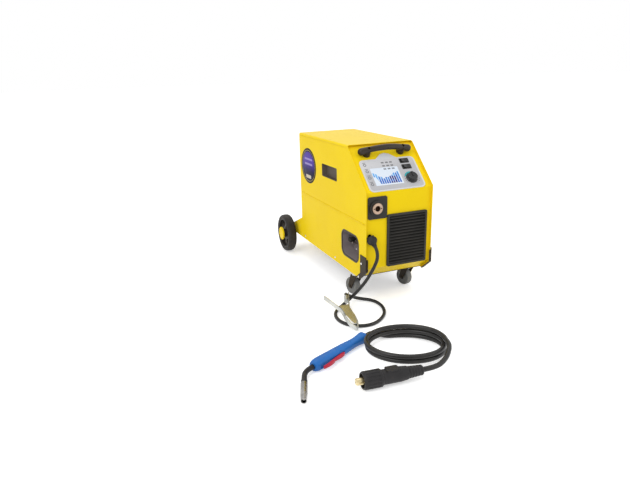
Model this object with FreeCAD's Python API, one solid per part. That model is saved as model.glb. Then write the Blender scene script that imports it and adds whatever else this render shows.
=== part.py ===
import FreeCAD, Part
import math
import os

from FreeCAD import Placement, Rotation, Vector

# MIG welder on its own running gear, in millimetres.
# +Z is up, the front faces -Y, +X is on the right seen from the front, and the floor is z = 0.
# The origin lies on the floor, midway between the front face and the back of the rear wheels.

# Cabinet
WIDTH = 240.0
BODY_DEPTH = 569.0
BASE_Z = 84.0
TOP_Z = 508.0
FOLD_Z = 122.0
CHAMFER_BACK = 47.0
SLOPE_Z = 379.0
SLOPE_BACK = 136.0
LIP = 9.0
SHEET = 1.5
TRAY_SHEET = 2.0
TRAY_FLANGE = 22.0
TOP_BEND = 6.0
TOP_FLANGE = 8.5
FIT = 0.2
GAP = 0.3
RUNNING = 0.06

# Door, its hinge and its pressed hand recess
SEAM_Z = 276.0
SEAM_DROP = 1.25
HINGE_MARGIN = 6.0
HINGE_EDGE = 2.9
KNUCKLE_R = 2.5
HINGE_PIN_R = 1.2
KNUCKLE_LENGTH = 31.0
KNUCKLE_GAP = 0.6
LEAF_HEIGHT = 12.0
LEAF_SHEET = 1.0
DOOR_RETURN = 8.0
RECESS_W = 130.0
RECESS_H = 45.0
RECESS_BACK = 282.0
RECESS_Z = 398.0
RECESS_DEPTH = 20.0
RECESS_CORNER = 5.0

# Polarity tub in the lower left panel
TUB_W = 126.0
TUB_H = 86.0
TUB_BACK = 117.0
TUB_Z = 177.0
TUB_DEPTH = 45.0
TUB_CORNER = 24.0
TUB_WALL = 2.0
TUB_RIM = 4.0
TERMINAL_SPACING = 52.0
TERMINAL_R = 4.0

# Control face
FASCIA_EDGE = 20.0
FASCIA_LOW = 4.0
FASCIA_HIGH = 127.0
FASCIA_TAB_HIGH = 149.0
FASCIA_TAB_W = 76.0
FASCIA_CORNER = 15.0
FASCIA_T = 2.5
CONTROL_EDGE = 60.0
ROCKER_PLACES = (111.0, 87.0)
ROCKER_W = 29.0
ROCKER_H = 14.0
ROCKER_TILT = 8.0
ROCKER_PIN_R = 1.5
BEZEL_EDGE = 2.0
BEZEL_T = 1.6
SWITCH_DEPTH = 20.0
KNOB_S = 41.0
KNOB_R = 19.5
KNOB_H = 17.0
KNOB_SHAFT_R = 3.0
HANDLE_S = 151.0
HANDLE_SPAN = 124.0
HANDLE_OVERHANG = 34.0
HANDLE_RISE = 39.5
HANDLE_R = 9.5
HANDLE_END_R = 12.0
HANDLE_END_RISE = 15.5
HANDLE_TAPER = 26.0
HANDLE_FOOT_R = 13.5
HANDLE_FOOT_H = 24.0
HANDLE_SCREW_R = 4.5
HANDLE_SCREW_Z = 26.5

# Front face
SOCKET_EDGE = 38.0
SOCKET_Z = 326.0
SOCKET_PLATE_W = 67.0
SOCKET_PLATE_SHIFT = 5.0
SOCKET_PLATE_H = 71.0
SOCKET_PLATE_T = 4.0
COLLAR_R = 24.0
COLLAR_T = 5.0
SOCKET_R = 17.5
SOCKET_REACH = 14.0
SOCKET_BACK = 55.0
SOCKET_BORE_R = 9.1
SOCKET_BORE_DEPTH = 44.0
PILOT_R = 2.1
PILOT_OFFSET = 12.5
GRILLE_LEFT = 78.0
GRILLE_RIGHT = 16.0
GRILLE_Z = 213.0
GRILLE_H = 174.0
GRILLE_FRAME = 7.0
GRILLE_CORNER = 6.0
GRILLE_T = 5.0
SLAT_COUNT = 16
SLAT_T = 2.0
SLAT_TILT = 35.0
GLAND_EDGE = 16.5
GLAND_Z = 236.0
GLAND_R = 13.5
GLAND_T = 5.0
GLAND_LENGTH = 34.0
GLAND_LEAN = Vector(0.26, -0.50, -0.826)

# Corner guards
GUARD_T = 2.5
GUARD_SIDE = 37.5
GUARD_LOW = 12.5
GUARD_FRONT = 6.0
GUARD_TOP = 170.0
GUARD_SCREWS = ((28.0, 142.0), (48.0, 90.0))

# Running gear
REAR_WHEEL_R = 78.0
WHEEL_BEHIND = 110.5
WHEEL_OUT = 30.0
REAR_WHEEL_W = 36.0
RIM_R = 63.0
HUB_R = 17.0
HUB_LENGTH = 40.0
HUB_CAP_R = 27.0
HUB_CAP_T = 3.0
RIM_HOLES = 6
RIM_HOLE_R = 12.0
AXLE_R = 6.0
AXLE_END = 4.5
SADDLE_EDGE = 22.0
SADDLE_W = 28.0
SADDLE_H = 14.0
SADDLE_FRONT = 36.0
SADDLE_REAR = 126.0
SHELF_DEPTH = 165.0
SHELF_SHEET = 2.0
SHELF_WING_HIGH = 167.0
SHELF_WING_LOW = 96.0
SHELF_FLANGE = 34.0
BOTTLE_R = 70.0
CRADLE_Z = 402.0
CRADLE_REACH = 46.0
CRADLE_W = 150.0
CASTER_EDGE = 19.0
CASTER_BACK = 105.0
CASTER_TRAIL = 20.0
CASTER_TURN = 12.0
CASTER_R = 30.0
CASTER_W = 22.0
CASTER_AXLE_R = 4.0
CASTER_PLATE_W = 37.0
CASTER_PLATE_D = 48.0
CASTER_PLATE_T = 2.5
CASTER_CUP_R = 17.0
CASTER_CUP_H = 6.5
KINGPIN_R = 5.0
FORK_T = 2.5

# Inside
WIRE_BAY = 74.0
DECK_DROP = 6.0
SPOOL_FROM_REAR = 117.0
SPOOL_Z = 390.0
SPOOL_R = 97.0
SPOOL_WINDING_R = 79.0
SPOOL_CORE_R = 49.0
SPOOL_W = 54.0
SPINDLE_R = 25.0
FEED_BACK = 235.0
FEED_ROLLER_R = 15.0
FEED_ROLLER_W = 12.0
FEED_SHAFT_R = 4.0
WIRE_D = 0.8
FAN_SIZE = 120.0
FAN_EDGE = 76.0
FAN_Z = 330.0
FAN_T = 25.0
FAN_BORE_R = 56.0
FAN_BLADES = 7
CORE_EDGE = 72.0
CORE_BACK = 330.0
CORE_W = 110.0
CORE_H = 92.0
CORE_T = 52.0
HEATSINK_BACK = 190.0
HEATSINK_EDGE = 75.0
HEATSINK_W = 110.0
HEATSINK_D = 70.0
HEATSINK_H = 46.0
HEATSINK_BASE = 6.0
FIN_T = 3.0
FIN_COUNT = 9
BOARD_GAP = 5.0
BOARD_TO_SWITCH = 21.0
BOARD_H = 90.0
BOARD_LOW = 22.0
STANDOFF = 12.0
REAR_FITTING_EDGE = 35.0
GAS_Z = 195.0
GAS_PIN_R = 4.5
GAS_PIN_LENGTH = 18.0
MAINS_Z = 180.0
MAINS_BORE_R = 5.0
MAINS_LENGTH = 24.0
SCREW_R = 4.0
SCREW_H = 2.2

# Torch set, lying on the floor in front
TORCH_NOSE = Vector(-427.0, -301.0, 0.0)
TORCH_HEADING = 205.3
TORCH_LENGTH = 211.0
TORCH_W = 34.0
TORCH_H = 31.0
TRIGGER_W = 9.2
TRIGGER_FRONT = 15.0
TRIGGER_PIN_BACK = 98.0
TRIGGER_PIN_R = 1.5
NECK_R = 7.0
NECK_SEAT = 10.0
NECK_BEND = 43.0
NECK_BEND_R = 55.0
NECK_FIRST = 10.0
NECK_LAST = 34.0
NOZZLE_R = 9.0
NOZZLE_LENGTH = 72.0
NOZZLE_WALL = 1.5
TORCH_CABLE_R = 6.75
TORCH_COIL_CENTRE = Vector(-157.0, -306.0, 0.0)
TORCH_COIL_TURN = -21.6
TORCH_COIL_A = 106.0
TORCH_COIL_B = 81.0
TORCH_COIL_PITCH = 14.2
TORCH_COIL_LOOPS = 2.25
TORCH_COIL_START = 95.0
PLUG_BOOT_END = Vector(-187.0, -440.0, 0.0)
PLUG_HEADING = 174.4
PLUG_LENGTH = 112.0
PLUG_NUT_R = 23.0
PLUG_NUT_LENGTH = 50.0
PLUG_BARREL_R = 15.0
PLUG_MOUTH = 12.0
PLUG_PIN_R = 9.0
PLUG_PIN_REACH = 17.0
FLOOR_GAP = 0.4

# Earth cable and its clamp
EARTH_CABLE_R = 5.5
CLAMP_TILT = 11.3
CLAMP_HEADING = 266.0
CLAMP_PIVOT = Vector(-221.0, -68.0, 31.0)
CLAMP_SHEET = 2.5
CLAMP_HEIGHT = 15.0
CLAMP_PIN_R = 2.5
FERRULE_END = (-78.0, 28.5)
FERRULE_DIR = (64.0, -22.0)
FERRULE_LENGTH = 26.0
EARTH_LANDING = 16.0
EARTH_ROUTE = (
    (-93.5, -25.0, 182.0), (-101.5, -27.5, 157.0), (-113.0, -26.5, 132.0), (-126.0, -21.5, 107.0),
    (-139.0, -12.0, 83.0), (-151.0, 1.0, 60.0), (-166.0, 12.0, 39.0), (-186.0, 18.0, 20.0),
    (-211.0, 12.0, 8.5), (-231.0, -5.0, 6.0), (-244.0, -35.0, 5.9), (-246.0, -71.0, 5.9), (-232.0, -105.0, 5.9),
    (-201.0, -129.0, 5.9), (-162.0, -132.0, 5.9), (-124.0, -111.0, 5.9), (-92.0, -77.0, 5.9),
    (-75.0, -33.0, 5.9), (-74.0, 8.0, 5.9), (-86.0, 35.0, 5.9), (-106.0, 50.5, 6.5), (-133.0, 58.0, 15.0),
    (-156.0, 56.0, 35.0),
)
EARTH_HANGING = 6

# Worked out from the sizes above
REAR_WHEEL_BACK = BODY_DEPTH + WHEEL_BEHIND
LENGTH = REAR_WHEEL_BACK + REAR_WHEEL_R
FRONT = -LENGTH / 2
REAR = FRONT + BODY_DEPTH
SIDE = WIDTH / 2
INNER = SIDE - SHEET
FASCIA_W = WIDTH - 2 * FASCIA_EDGE
CONTROL_X = SIDE - CONTROL_EDGE
SOCKET_X = SOCKET_EDGE - SIDE
GRILLE_X = (GRILLE_LEFT - GRILLE_RIGHT) / 2
GRILLE_W = WIDTH - GRILLE_LEFT - GRILLE_RIGHT
GLAND_X = GLAND_EDGE - SIDE
REAR_WHEEL_X = SIDE + WHEEL_OUT
CASTER_X = SIDE - CASTER_EDGE
BULKHEAD_X = WIRE_BAY - SIDE
SPOOL_BACK = BODY_DEPTH - SPOOL_FROM_REAR
FAN_X = SIDE - FAN_EDGE
CORE_X = SIDE - CORE_EDGE
HEATSINK_X = SIDE - HEATSINK_EDGE
BOARD_X = BULKHEAD_X + BOARD_GAP
BOARD_W = CONTROL_X - BOARD_TO_SWITCH - BOARD_X
GAS_X = REAR_FITTING_EDGE - SIDE
MAINS_X = SIDE - REAR_FITTING_EDGE
PANEL_Y = FRONT + LIP
REAR_INNER = REAR - SHEET
TRAY_TOP = BASE_Z + TRAY_SHEET
SLOPE_ANGLE = math.degrees(math.atan2(TOP_Z - SLOPE_Z, SLOPE_BACK))
SLOPE_COS = math.cos(math.radians(SLOPE_ANGLE))
SLOPE_SIN = math.sin(math.radians(SLOPE_ANGLE))
HINGE_X = -SIDE + SHEET / 2
DECK_Z = SEAM_Z - DECK_DROP
TORCH_COIL_END = TORCH_COIL_START - 360.0 * TORCH_COIL_LOOPS
X_DIR = Vector(1, 0, 0)
Y_DIR = Vector(0, 1, 0)
Z_DIR = Vector(0, 0, 1)


def frame(origin, along_x, along_y):
    """Placement whose local x and y point along the two given directions."""
    x_axis = Vector(along_x).normalize()
    y_axis = Vector(along_y).normalize()
    return Placement(origin, Rotation(x_axis, y_axis, x_axis.cross(y_axis), "ZXY"))


# Each face of the cabinet has its own frame: local z points out of the face
FRONT_FACE = frame(Vector(0, PANEL_Y, 0), X_DIR, Z_DIR)
SLOPE_FACE = frame(
    Vector(0, FRONT + LIP * SLOPE_SIN, SLOPE_Z - LIP * SLOPE_COS), X_DIR, Vector(0, SLOPE_COS, SLOPE_SIN)
)
LEFT_FACE = frame(Vector(-SIDE, FRONT, 0), -Y_DIR, Z_DIR)
RIGHT_FACE = frame(Vector(SIDE, FRONT, 0), Y_DIR, Z_DIR)
REAR_FACE = frame(Vector(0, REAR, 0), -X_DIR, Z_DIR)


def put(shape, placement):
    """The shape moved from its local frame into the row frame."""
    moved = shape.copy()
    moved.Placement = placement.multiply(moved.Placement)
    return moved


def box(x0, x1, y0, y1, z0, z1):
    return Part.makeBox(x1 - x0, y1 - y0, z1 - z0, Vector(x0, y0, z0))


def rod(start, along, radius, length):
    return Part.makeCylinder(radius, length, Vector(start), Vector(along))


def disc(radius, z0, z1, x=0.0, y=0.0):
    """Cylinder along local z."""
    return Part.makeCylinder(radius, z1 - z0, Vector(x, y, z0))


def rounded_wire(width, height, corner, x=0.0, y=0.0, z=0.0):
    """Closed rounded rectangle in a local plane z, centred on x and y."""
    half_w = width / 2
    half_h = height / 2
    diagonal = corner * (1 - math.sqrt(0.5))
    edges = []
    for sx, sy, first_x in ((1, 1, False), (-1, 1, True), (-1, -1, False), (1, -1, True)):
        on_side = Vector(x + sx * half_w, y + sy * (half_h - corner), z)
        on_end = Vector(x + sx * (half_w - corner), y + sy * half_h, z)
        middle = Vector(x + sx * (half_w - diagonal), y + sy * (half_h - diagonal), z)
        first, last = (on_end, on_side) if first_x else (on_side, on_end)
        if edges:
            edges.append(Part.LineSegment(edges[-1].Vertexes[-1].Point, first).toShape())
        edges.append(Part.Arc(first, middle, last).toShape())
    edges.append(Part.LineSegment(edges[-1].Vertexes[-1].Point, edges[0].Vertexes[0].Point).toShape())
    return Part.Wire(edges)


def pad(width, height, corner, z0, z1, x=0.0, y=0.0):
    """Rounded rectangular block along local z."""
    return Part.Face(rounded_wire(width, height, corner, x, y, z0)).extrude(Vector(0, 0, z1 - z0))


def slab(points, z0, z1):
    """Polygon in the local xy plane, extruded along local z."""
    corners = [Vector(x, y, z0) for x, y in points]
    return Part.Face(Part.makePolygon(corners + corners[:1])).extrude(Vector(0, 0, z1 - z0))


def plate_yz(points, x0, x1):
    """Polygon of (y, z) points, extruded along X."""
    corners = [Vector(x0, y, z) for y, z in points]
    return Part.Face(Part.makePolygon(corners + corners[:1])).extrude(Vector(x1 - x0, 0, 0))


def lathe(points):
    """Closed outline of (radius, z) points turned round local z."""
    corners = [Vector(r, 0, z) for r, z in points]
    return Part.Face(Part.makePolygon(corners + corners[:1])).revolve(Vector(), Z_DIR, 360)


def ring(outer, inner, z0, z1, x=0.0, y=0.0):
    return disc(outer, z0, z1, x, y).cut(disc(inner, z0 - 1, z1 + 1, x, y))


def join(first, *others):
    return first.fuse(list(others)).removeSplitter()


def mirrored(shape):
    return shape.mirror(Vector(), X_DIR)


def inset_outline(chamfer=0.0, front=0.0, slope=0.0, top=0.0, rear=0.0, bottom=0.0):
    """Side outline of the cabinet as (y, z) points, each edge moved inwards by its own distance."""
    points = [
        (FRONT + CHAMFER_BACK, BASE_Z), (FRONT, FOLD_Z), (FRONT, SLOPE_Z),
        (FRONT + SLOPE_BACK, TOP_Z), (REAR, TOP_Z), (REAR, BASE_Z),
    ]
    lines = []
    for index, shift in enumerate((chamfer, front, slope, top, rear, bottom)):
        (y0, z0), (y1, z1) = points[index], points[(index + 1) % len(points)]
        length = math.hypot(y1 - y0, z1 - z0)
        normal = ((z1 - z0) / length, -(y1 - y0) / length)
        lines.append((normal, normal[0] * y0 + normal[1] * z0 + shift))
    corners = []
    for index in range(len(lines)):
        (a, b), c = lines[index - 1]
        (d, e), f = lines[index]
        det = a * e - b * d
        corners.append(((c * e - b * f) / det, (a * f - c * d) / det))
    return corners


# Cabinet shells

def base_tray():
    low_front = inset_outline(chamfer=LIP, bottom=TRAY_SHEET)[0][0]
    floor = box(-INNER, INNER, low_front, REAR, BASE_Z, TRAY_TOP)
    flanges = [
        box(x, x + TRAY_SHEET, low_front + TRAY_FLANGE, REAR_INNER, TRAY_TOP, TRAY_TOP + TRAY_FLANGE)
        for x in (-INNER, INNER - TRAY_SHEET)
    ]
    return join(floor, *flanges)


def lower_left_panel():
    outline = plate_yz(inset_outline(), -SIDE, -INNER)
    below = join(box(-SIDE - 1, 0, FRONT - 1, REAR + 1, 0, SEAM_Z - HINGE_EDGE),
                 *seam_ends(SEAM_Z - HINGE_EDGE - 1, SEAM_Z - SEAM_DROP))
    opening = pad(TUB_W, TUB_H, TUB_CORNER, -SHEET - 1, 1, -TUB_BACK, TUB_Z)
    return outline.common(below).cut(put(opening, LEFT_FACE))


def hinge_run():
    """Number of the piano hinge's knuckles, and where their row starts and ends along Y."""
    pitch = KNUCKLE_LENGTH + KNUCKLE_GAP
    count = int((BODY_DEPTH - 2 * HINGE_MARGIN) // pitch)
    length = count * pitch - KNUCKLE_GAP
    start = FRONT + (BODY_DEPTH - length) / 2
    return count, start, start + length


def seam_ends(low, high):
    """Blocks over the side's sheet before and behind the hinge, between two heights."""
    _, start, end = hinge_run()
    spans = ((FRONT - 1, start - KNUCKLE_GAP), (end + KNUCKLE_GAP, REAR + 1))
    return [box(-SIDE - 1, 0, y0, y1, low, high) for y0, y1 in spans]


def door_knuckles(parity, reach):
    """Every second knuckle of the piano hinge, with the leaf that holds them."""
    count, start, end = hinge_run()
    leaf_z = sorted((SEAM_Z + reach * HINGE_EDGE, SEAM_Z + reach * LEAF_HEIGHT))
    pieces = [box(-INNER, -INNER + LEAF_SHEET, start, end, *leaf_z)]
    for index in range(parity, count, 2):
        y = start + index * (KNUCKLE_LENGTH + KNUCKLE_GAP)
        pieces.append(rod((HINGE_X, y, SEAM_Z), Y_DIR, KNUCKLE_R, KNUCKLE_LENGTH))
        web_z = sorted((SEAM_Z, SEAM_Z + reach * (HINGE_EDGE + 1)))
        pieces.append(box(-INNER, -INNER + LEAF_SHEET, y, y + KNUCKLE_LENGTH, *web_z))
    return join(*pieces)


def door_hinge_leaf():
    """Fixed leaf of the piano hinge, with its pin held in its own knuckles."""
    _, start, end = hinge_run()
    return join(door_knuckles(0, -1), rod((HINGE_X, start, SEAM_Z), Y_DIR, HINGE_PIN_R, end - start))


def left_door():
    low = SEAM_Z + HINGE_EDGE
    high = TOP_Z - TOP_FLANGE - 2 * GAP
    band = join(box(-SIDE - 1, 0, FRONT - 1, REAR + 1, low, high), *seam_ends(SEAM_Z + GAP, low + 1))
    skin = plate_yz(inset_outline(), -SIDE, -INNER).common(band)
    inner_edge = inset_outline(rear=SHEET + GAP)
    top_return = box(
        -INNER, -INNER + DOOR_RETURN, FRONT + SLOPE_BACK + LIP, inner_edge[4][0], high - SHEET, high
    )
    rear_return = box(-INNER, -INNER + DOOR_RETURN, inner_edge[4][0] - SHEET, inner_edge[4][0],
                      low + LEAF_HEIGHT, high)
    outer = pad(RECESS_W + 2 * SHEET, RECESS_H + 2 * SHEET, RECESS_CORNER + SHEET, -RECESS_DEPTH - SHEET, 0,
                -RECESS_BACK, RECESS_Z)
    hollow = pad(RECESS_W, RECESS_H, RECESS_CORNER, -RECESS_DEPTH, 1, -RECESS_BACK, RECESS_Z)
    door = join(skin, top_return, rear_return, put(outer, LEFT_FACE), door_knuckles(1, 1))
    _, start, end = hinge_run()
    pin_way = rod((HINGE_X, start - 1, SEAM_Z), Y_DIR, HINGE_PIN_R + RUNNING, end - start + 2)
    return door.cut(put(hollow, LEFT_FACE)).cut(pin_way)


def top_right_cover():
    """Top plate and right side in one sheet, with a short flange down the left edge."""
    outer = pad(WIDTH, 2 * TOP_Z, TOP_BEND, 0, BODY_DEPTH)
    inner = pad(WIDTH - 2 * SHEET, 2 * (TOP_Z - SHEET), TOP_BEND - SHEET, -1, BODY_DEPTH + 1)
    along_y = frame(Vector(0, REAR, 0), X_DIR, Z_DIR)
    sleeve = put(outer.cut(inner), along_y)
    within = plate_yz(inset_outline(), -SIDE, SIDE)
    left_side = box(-SIDE - 1, 0, FRONT - 1, REAR + 1, 0, TOP_Z - TOP_FLANGE)
    return sleeve.common(within).cut(left_side)


def cover_hollow():
    """Room inside the cover's two bends, from front to rear."""
    room = pad(2 * (INNER - FIT), 2 * (TOP_Z - SHEET), TOP_BEND - SHEET, 0, BODY_DEPTH)
    return put(room, frame(Vector(0, REAR, 0), X_DIR, Z_DIR))


def front_panel():
    """Chamfer, front and slope in one bent sheet, set back behind the lip of the sides."""
    outside = inset_outline(LIP, LIP, LIP, SHEET, 0, TRAY_SHEET)
    inside = inset_outline(LIP + SHEET, LIP + SHEET, LIP + SHEET, SHEET, 0, TRAY_SHEET)
    panel = plate_yz(outside[:4] + inside[3::-1], -INNER, INNER).common(cover_hollow())
    through = (-SHEET - 1, 1)
    front_holes = [
        pad(GRILLE_W - GRILLE_FRAME, GRILLE_H - GRILLE_FRAME, 6, *through, GRILLE_X, GRILLE_Z),
        disc(SOCKET_R + FIT, *through, SOCKET_X, SOCKET_Z),
        disc(GLAND_R / 2, *through, GLAND_X, GLAND_Z),
    ]
    slope_holes = [disc(KNOB_SHAFT_R + 1, *through, CONTROL_X, KNOB_S)]
    for place in ROCKER_PLACES:
        slope_holes.append(pad(ROCKER_W, ROCKER_H, 1, *through, CONTROL_X, place))
    for hole in front_holes:
        panel = panel.cut(put(hole, FRONT_FACE))
    for hole in slope_holes:
        panel = panel.cut(put(hole, SLOPE_FACE))
    return panel


def rear_panel():
    panel = box(-INNER, INNER, REAR_INNER, REAR, TRAY_TOP, TOP_Z - SHEET).common(cover_hollow())
    slots = []
    pitch = 9.0
    for step in range(-5, 6):
        half_chord = math.sqrt(FAN_BORE_R ** 2 - (step * pitch) ** 2)
        slots.append(pad(2 * half_chord, 5, 2.4, -SHEET - 1, 1, -FAN_X, FAN_Z + step * pitch))
    slots.append(disc(GAS_PIN_R + 1.5, -SHEET - 1, 1, -GAS_X, GAS_Z))
    slots.append(disc(MAINS_BORE_R + 4, -SHEET - 1, 1, -MAINS_X, MAINS_Z))
    return panel.cut([put(slot, REAR_FACE) for slot in slots])


def bottle_cradle():
    """Bracket on the rear panel with a round notch for the bottle and two slots for its strap."""
    top = CRADLE_Z + TRAY_SHEET
    cradle = box(-CRADLE_W / 2, CRADLE_W / 2, REAR, REAR + CRADLE_REACH, CRADLE_Z, top)
    web = box(-CRADLE_W / 2, CRADLE_W / 2, REAR, REAR + TRAY_SHEET, CRADLE_Z - TRAY_FLANGE, CRADLE_Z)
    cuts = [disc(BOTTLE_R, CRADLE_Z - 1, top + 1, 0, REAR + SHELF_DEPTH / 2 + LIP)]
    for side in (-1, 1):
        slot_x = side * (CRADLE_W / 2 - 8)
        cuts.append(pad(4, 14, 1.9, CRADLE_Z - 1, top + 1, slot_x, REAR + CRADLE_REACH - 16))
    return join(cradle, web).cut(cuts)


def bottle_shelf():
    """Floor behind the cabinet between two wings, and above it the cradle for the bottle's neck end."""
    back = REAR + SHELF_DEPTH
    top = BASE_Z + SHELF_SHEET
    floor = box(-SIDE, SIDE, REAR, back, BASE_Z, top)
    flange = box(-SIDE, SIDE, REAR, REAR + SHELF_SHEET, BASE_Z, BASE_Z + SHELF_FLANGE)
    lip = box(-SIDE, SIDE, back - SHELF_SHEET, back, BASE_Z, SHELF_WING_LOW)
    outline = [(REAR, BASE_Z), (REAR, SHELF_WING_HIGH), (back, SHELF_WING_LOW), (back, BASE_Z)]
    wings = [plate_yz(outline, x, x + SHELF_SHEET) for x in (-SIDE, SIDE - SHELF_SHEET)]
    return Part.makeCompound([join(floor, flange, lip, *wings), bottle_cradle()])


def feed_bulkhead():
    """Upright wall between the two compartments, the wire compartment's deck and the spool spindle."""
    clear = LIP + SHEET + FIT
    outline = inset_outline(clear, clear, clear, SHEET + FIT, SHEET + FIT, TRAY_SHEET)
    wall = plate_yz(outline, BULKHEAD_X - SHEET, BULKHEAD_X)
    gate_back = FRONT + FEED_BACK
    gate = box(BULKHEAD_X - SHEET - 1, BULKHEAD_X + 1, gate_back - 24, gate_back + 24,
               SOCKET_Z - 35, SOCKET_Z - 5)
    deck = box(-INNER + LEAF_SHEET + FIT, BULKHEAD_X, PANEL_Y + SHEET + FIT, REAR_INNER - FIT,
               DECK_Z - SHEET, DECK_Z)
    centre = Vector(BULKHEAD_X - SHEET, FRONT + SPOOL_BACK, SPOOL_Z)
    near = spool_middle() + SPOOL_W / 2 + GAP
    far = spool_middle() - SPOOL_W / 2 - GAP
    spindle = rod(centre, -X_DIR, SPINDLE_R, centre.x - far + 3)
    bore = rod(centre, -X_DIR, SPINDLE_R - 4, centre.x - far + 4)
    stop = rod(centre, -X_DIR, SPINDLE_R + 6, centre.x - near)
    cap = rod((far, centre.y, centre.z), -X_DIR, SPINDLE_R + 3, 3)
    return join(wall.cut(gate), deck, stop, spindle, cap).cut(bore)


def polarity_tub():
    outer = pad(TUB_W - 2 * FIT, TUB_H - 2 * FIT, TUB_CORNER - FIT, -TUB_DEPTH, 0, -TUB_BACK, TUB_Z)
    rim = pad(TUB_W + 2 * TUB_RIM, TUB_H + 2 * TUB_RIM, TUB_CORNER + TUB_RIM, 0, TUB_WALL / 2,
              -TUB_BACK, TUB_Z)
    hollow = pad(TUB_W - 2 * TUB_WALL, TUB_H - 2 * TUB_WALL, TUB_CORNER - TUB_WALL,
                 -TUB_DEPTH + TUB_WALL, TUB_WALL, -TUB_BACK, TUB_Z)
    return put(join(outer, rim).cut(hollow), LEFT_FACE)


def polarity_terminals():
    """Two studs on the tub's floor, each with a hexagon nut and a ring terminal under it."""
    floor = -TUB_DEPTH + TUB_WALL
    studs = []
    for side in (-1, 1):
        x = -TUB_BACK + side * TERMINAL_SPACING / 2
        nut = slab(
            [(x + 8 * math.cos(math.radians(60 * k)), TUB_Z + 8 * math.sin(math.radians(60 * k)))
             for k in range(6)], floor + 3, floor + 10
        )
        studs.append(put(join(disc(10, floor, floor + 3, x, TUB_Z), nut,
                              disc(TERMINAL_R, floor, floor + 22, x, TUB_Z)), LEFT_FACE))
    return Part.makeCompound(studs)


# Control face

def control_fascia():
    """Flat plate with a tab that rises under the carry handle."""
    plate = pad(FASCIA_W, FASCIA_HIGH - FASCIA_LOW, FASCIA_CORNER, 0, FASCIA_T,
                0, (FASCIA_HIGH + FASCIA_LOW) / 2)
    rise = FASCIA_TAB_HIGH - FASCIA_HIGH
    half = FASCIA_TAB_W / 2
    tab = slab([(-half, FASCIA_HIGH), (half, FASCIA_HIGH), (half - rise, FASCIA_TAB_HIGH - rise * 0.2),
                (half - rise * 1.7, FASCIA_TAB_HIGH), (-half + rise * 1.7, FASCIA_TAB_HIGH),
                (-half + rise, FASCIA_TAB_HIGH - rise * 0.2)], 0, FASCIA_T)
    plate = join(plate, tab)
    for place in ROCKER_PLACES:
        plate = plate.cut(pad(ROCKER_W, ROCKER_H, 1, -1, FASCIA_T + 1, CONTROL_X, place))
    plate = plate.cut(disc(KNOB_SHAFT_R + RUNNING, -1, FASCIA_T + 1, CONTROL_X, KNOB_S))
    return put(plate, SLOPE_FACE)


def carry_handle():
    """Bowed bar with bulbous ends that overhang its two feet, each foot under a sunk screw hole."""
    end_x = HANDLE_SPAN / 2 + HANDLE_OVERHANG - HANDLE_END_R
    left, right = Vector(-end_x, 0, HANDLE_END_RISE), Vector(end_x, 0, HANDLE_END_RISE)
    bow = Part.Arc(left, Vector(0, 0, HANDLE_RISE - HANDLE_R), right)
    start = bow.tangent(bow.FirstParameter)[0]
    section = Part.Wire([Part.Circle(left, start, HANDLE_R).toShape()])
    pieces = [Part.Wire([bow.toShape()]).makePipeShell([section], True, False)]
    holes = []
    for side, end in ((-1, left), (1, right)):
        inwards = Vector(-side * start.x, 0, start.z)
        pieces.append(Part.makeSphere(HANDLE_END_R, end))
        pieces.append(Part.makeCone(HANDLE_END_R, HANDLE_R, HANDLE_TAPER, end, inwards))
        foot_x = side * HANDLE_SPAN / 2
        pieces.append(Part.makeCone(HANDLE_FOOT_R, HANDLE_END_R - 1, HANDLE_FOOT_H, Vector(foot_x, 0, 0)))
        holes.append(disc(HANDLE_SCREW_R, HANDLE_SCREW_Z, HANDLE_RISE, foot_x, 0))
    handle = join(*pieces).cut(holes)
    handle.translate(Vector(0, HANDLE_S, 0))
    return put(handle, SLOPE_FACE)


def switch_housings():
    """Two snap-in rocker housings, each with the pin that its rocker turns on."""
    housings = []
    for place in ROCKER_PLACES:
        bezel = pad(ROCKER_W + 2 * BEZEL_EDGE, ROCKER_H + 2 * BEZEL_EDGE, 2, FASCIA_T, FASCIA_T + BEZEL_T,
                    CONTROL_X, place)
        body = pad(ROCKER_W - 2 * FIT, ROCKER_H - 2 * FIT, 1, -SWITCH_DEPTH, FASCIA_T, CONTROL_X, place)
        well = pad(ROCKER_W - 2, ROCKER_H - 2, 1, -SWITCH_DEPTH + 4, FASCIA_T + BEZEL_T + 1, CONTROL_X, place)
        pin = rod((CONTROL_X, place - ROCKER_H / 2 + 0.6, FASCIA_T - 1), Y_DIR, ROCKER_PIN_R, ROCKER_H - 1.2)
        housings.append(put(join(join(bezel, body).cut(well), pin), SLOPE_FACE))
    return Part.makeCompound(housings)


def rocker(place):
    """Rocker with a shallow V top, shown tipped to its OFF side."""
    half = ROCKER_W / 2 - 1.6
    pivot = Vector(CONTROL_X, place, FASCIA_T - 1)
    outline = [
        (-half, 5.6), (0, 3.4), (half, 5.6), (half - 0.6, -1.5), (half / 2, -5.5), (-half / 2, -5.5),
        (-half + 0.6, -1.5),
    ]
    width = ROCKER_H - 2 - 2 * GAP
    corners = [Vector(x, -width / 2, z) for x, z in outline]
    paddle = Part.Face(Part.makePolygon(corners + corners[:1])).extrude(Vector(0, width, 0))
    paddle = paddle.cut(rod((0, -width, 0), Y_DIR, ROCKER_PIN_R + RUNNING, 2 * width))
    paddle.rotate(Vector(), Y_DIR, ROCKER_TILT)
    paddle.translate(pivot)
    return put(paddle, SLOPE_FACE)


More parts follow.
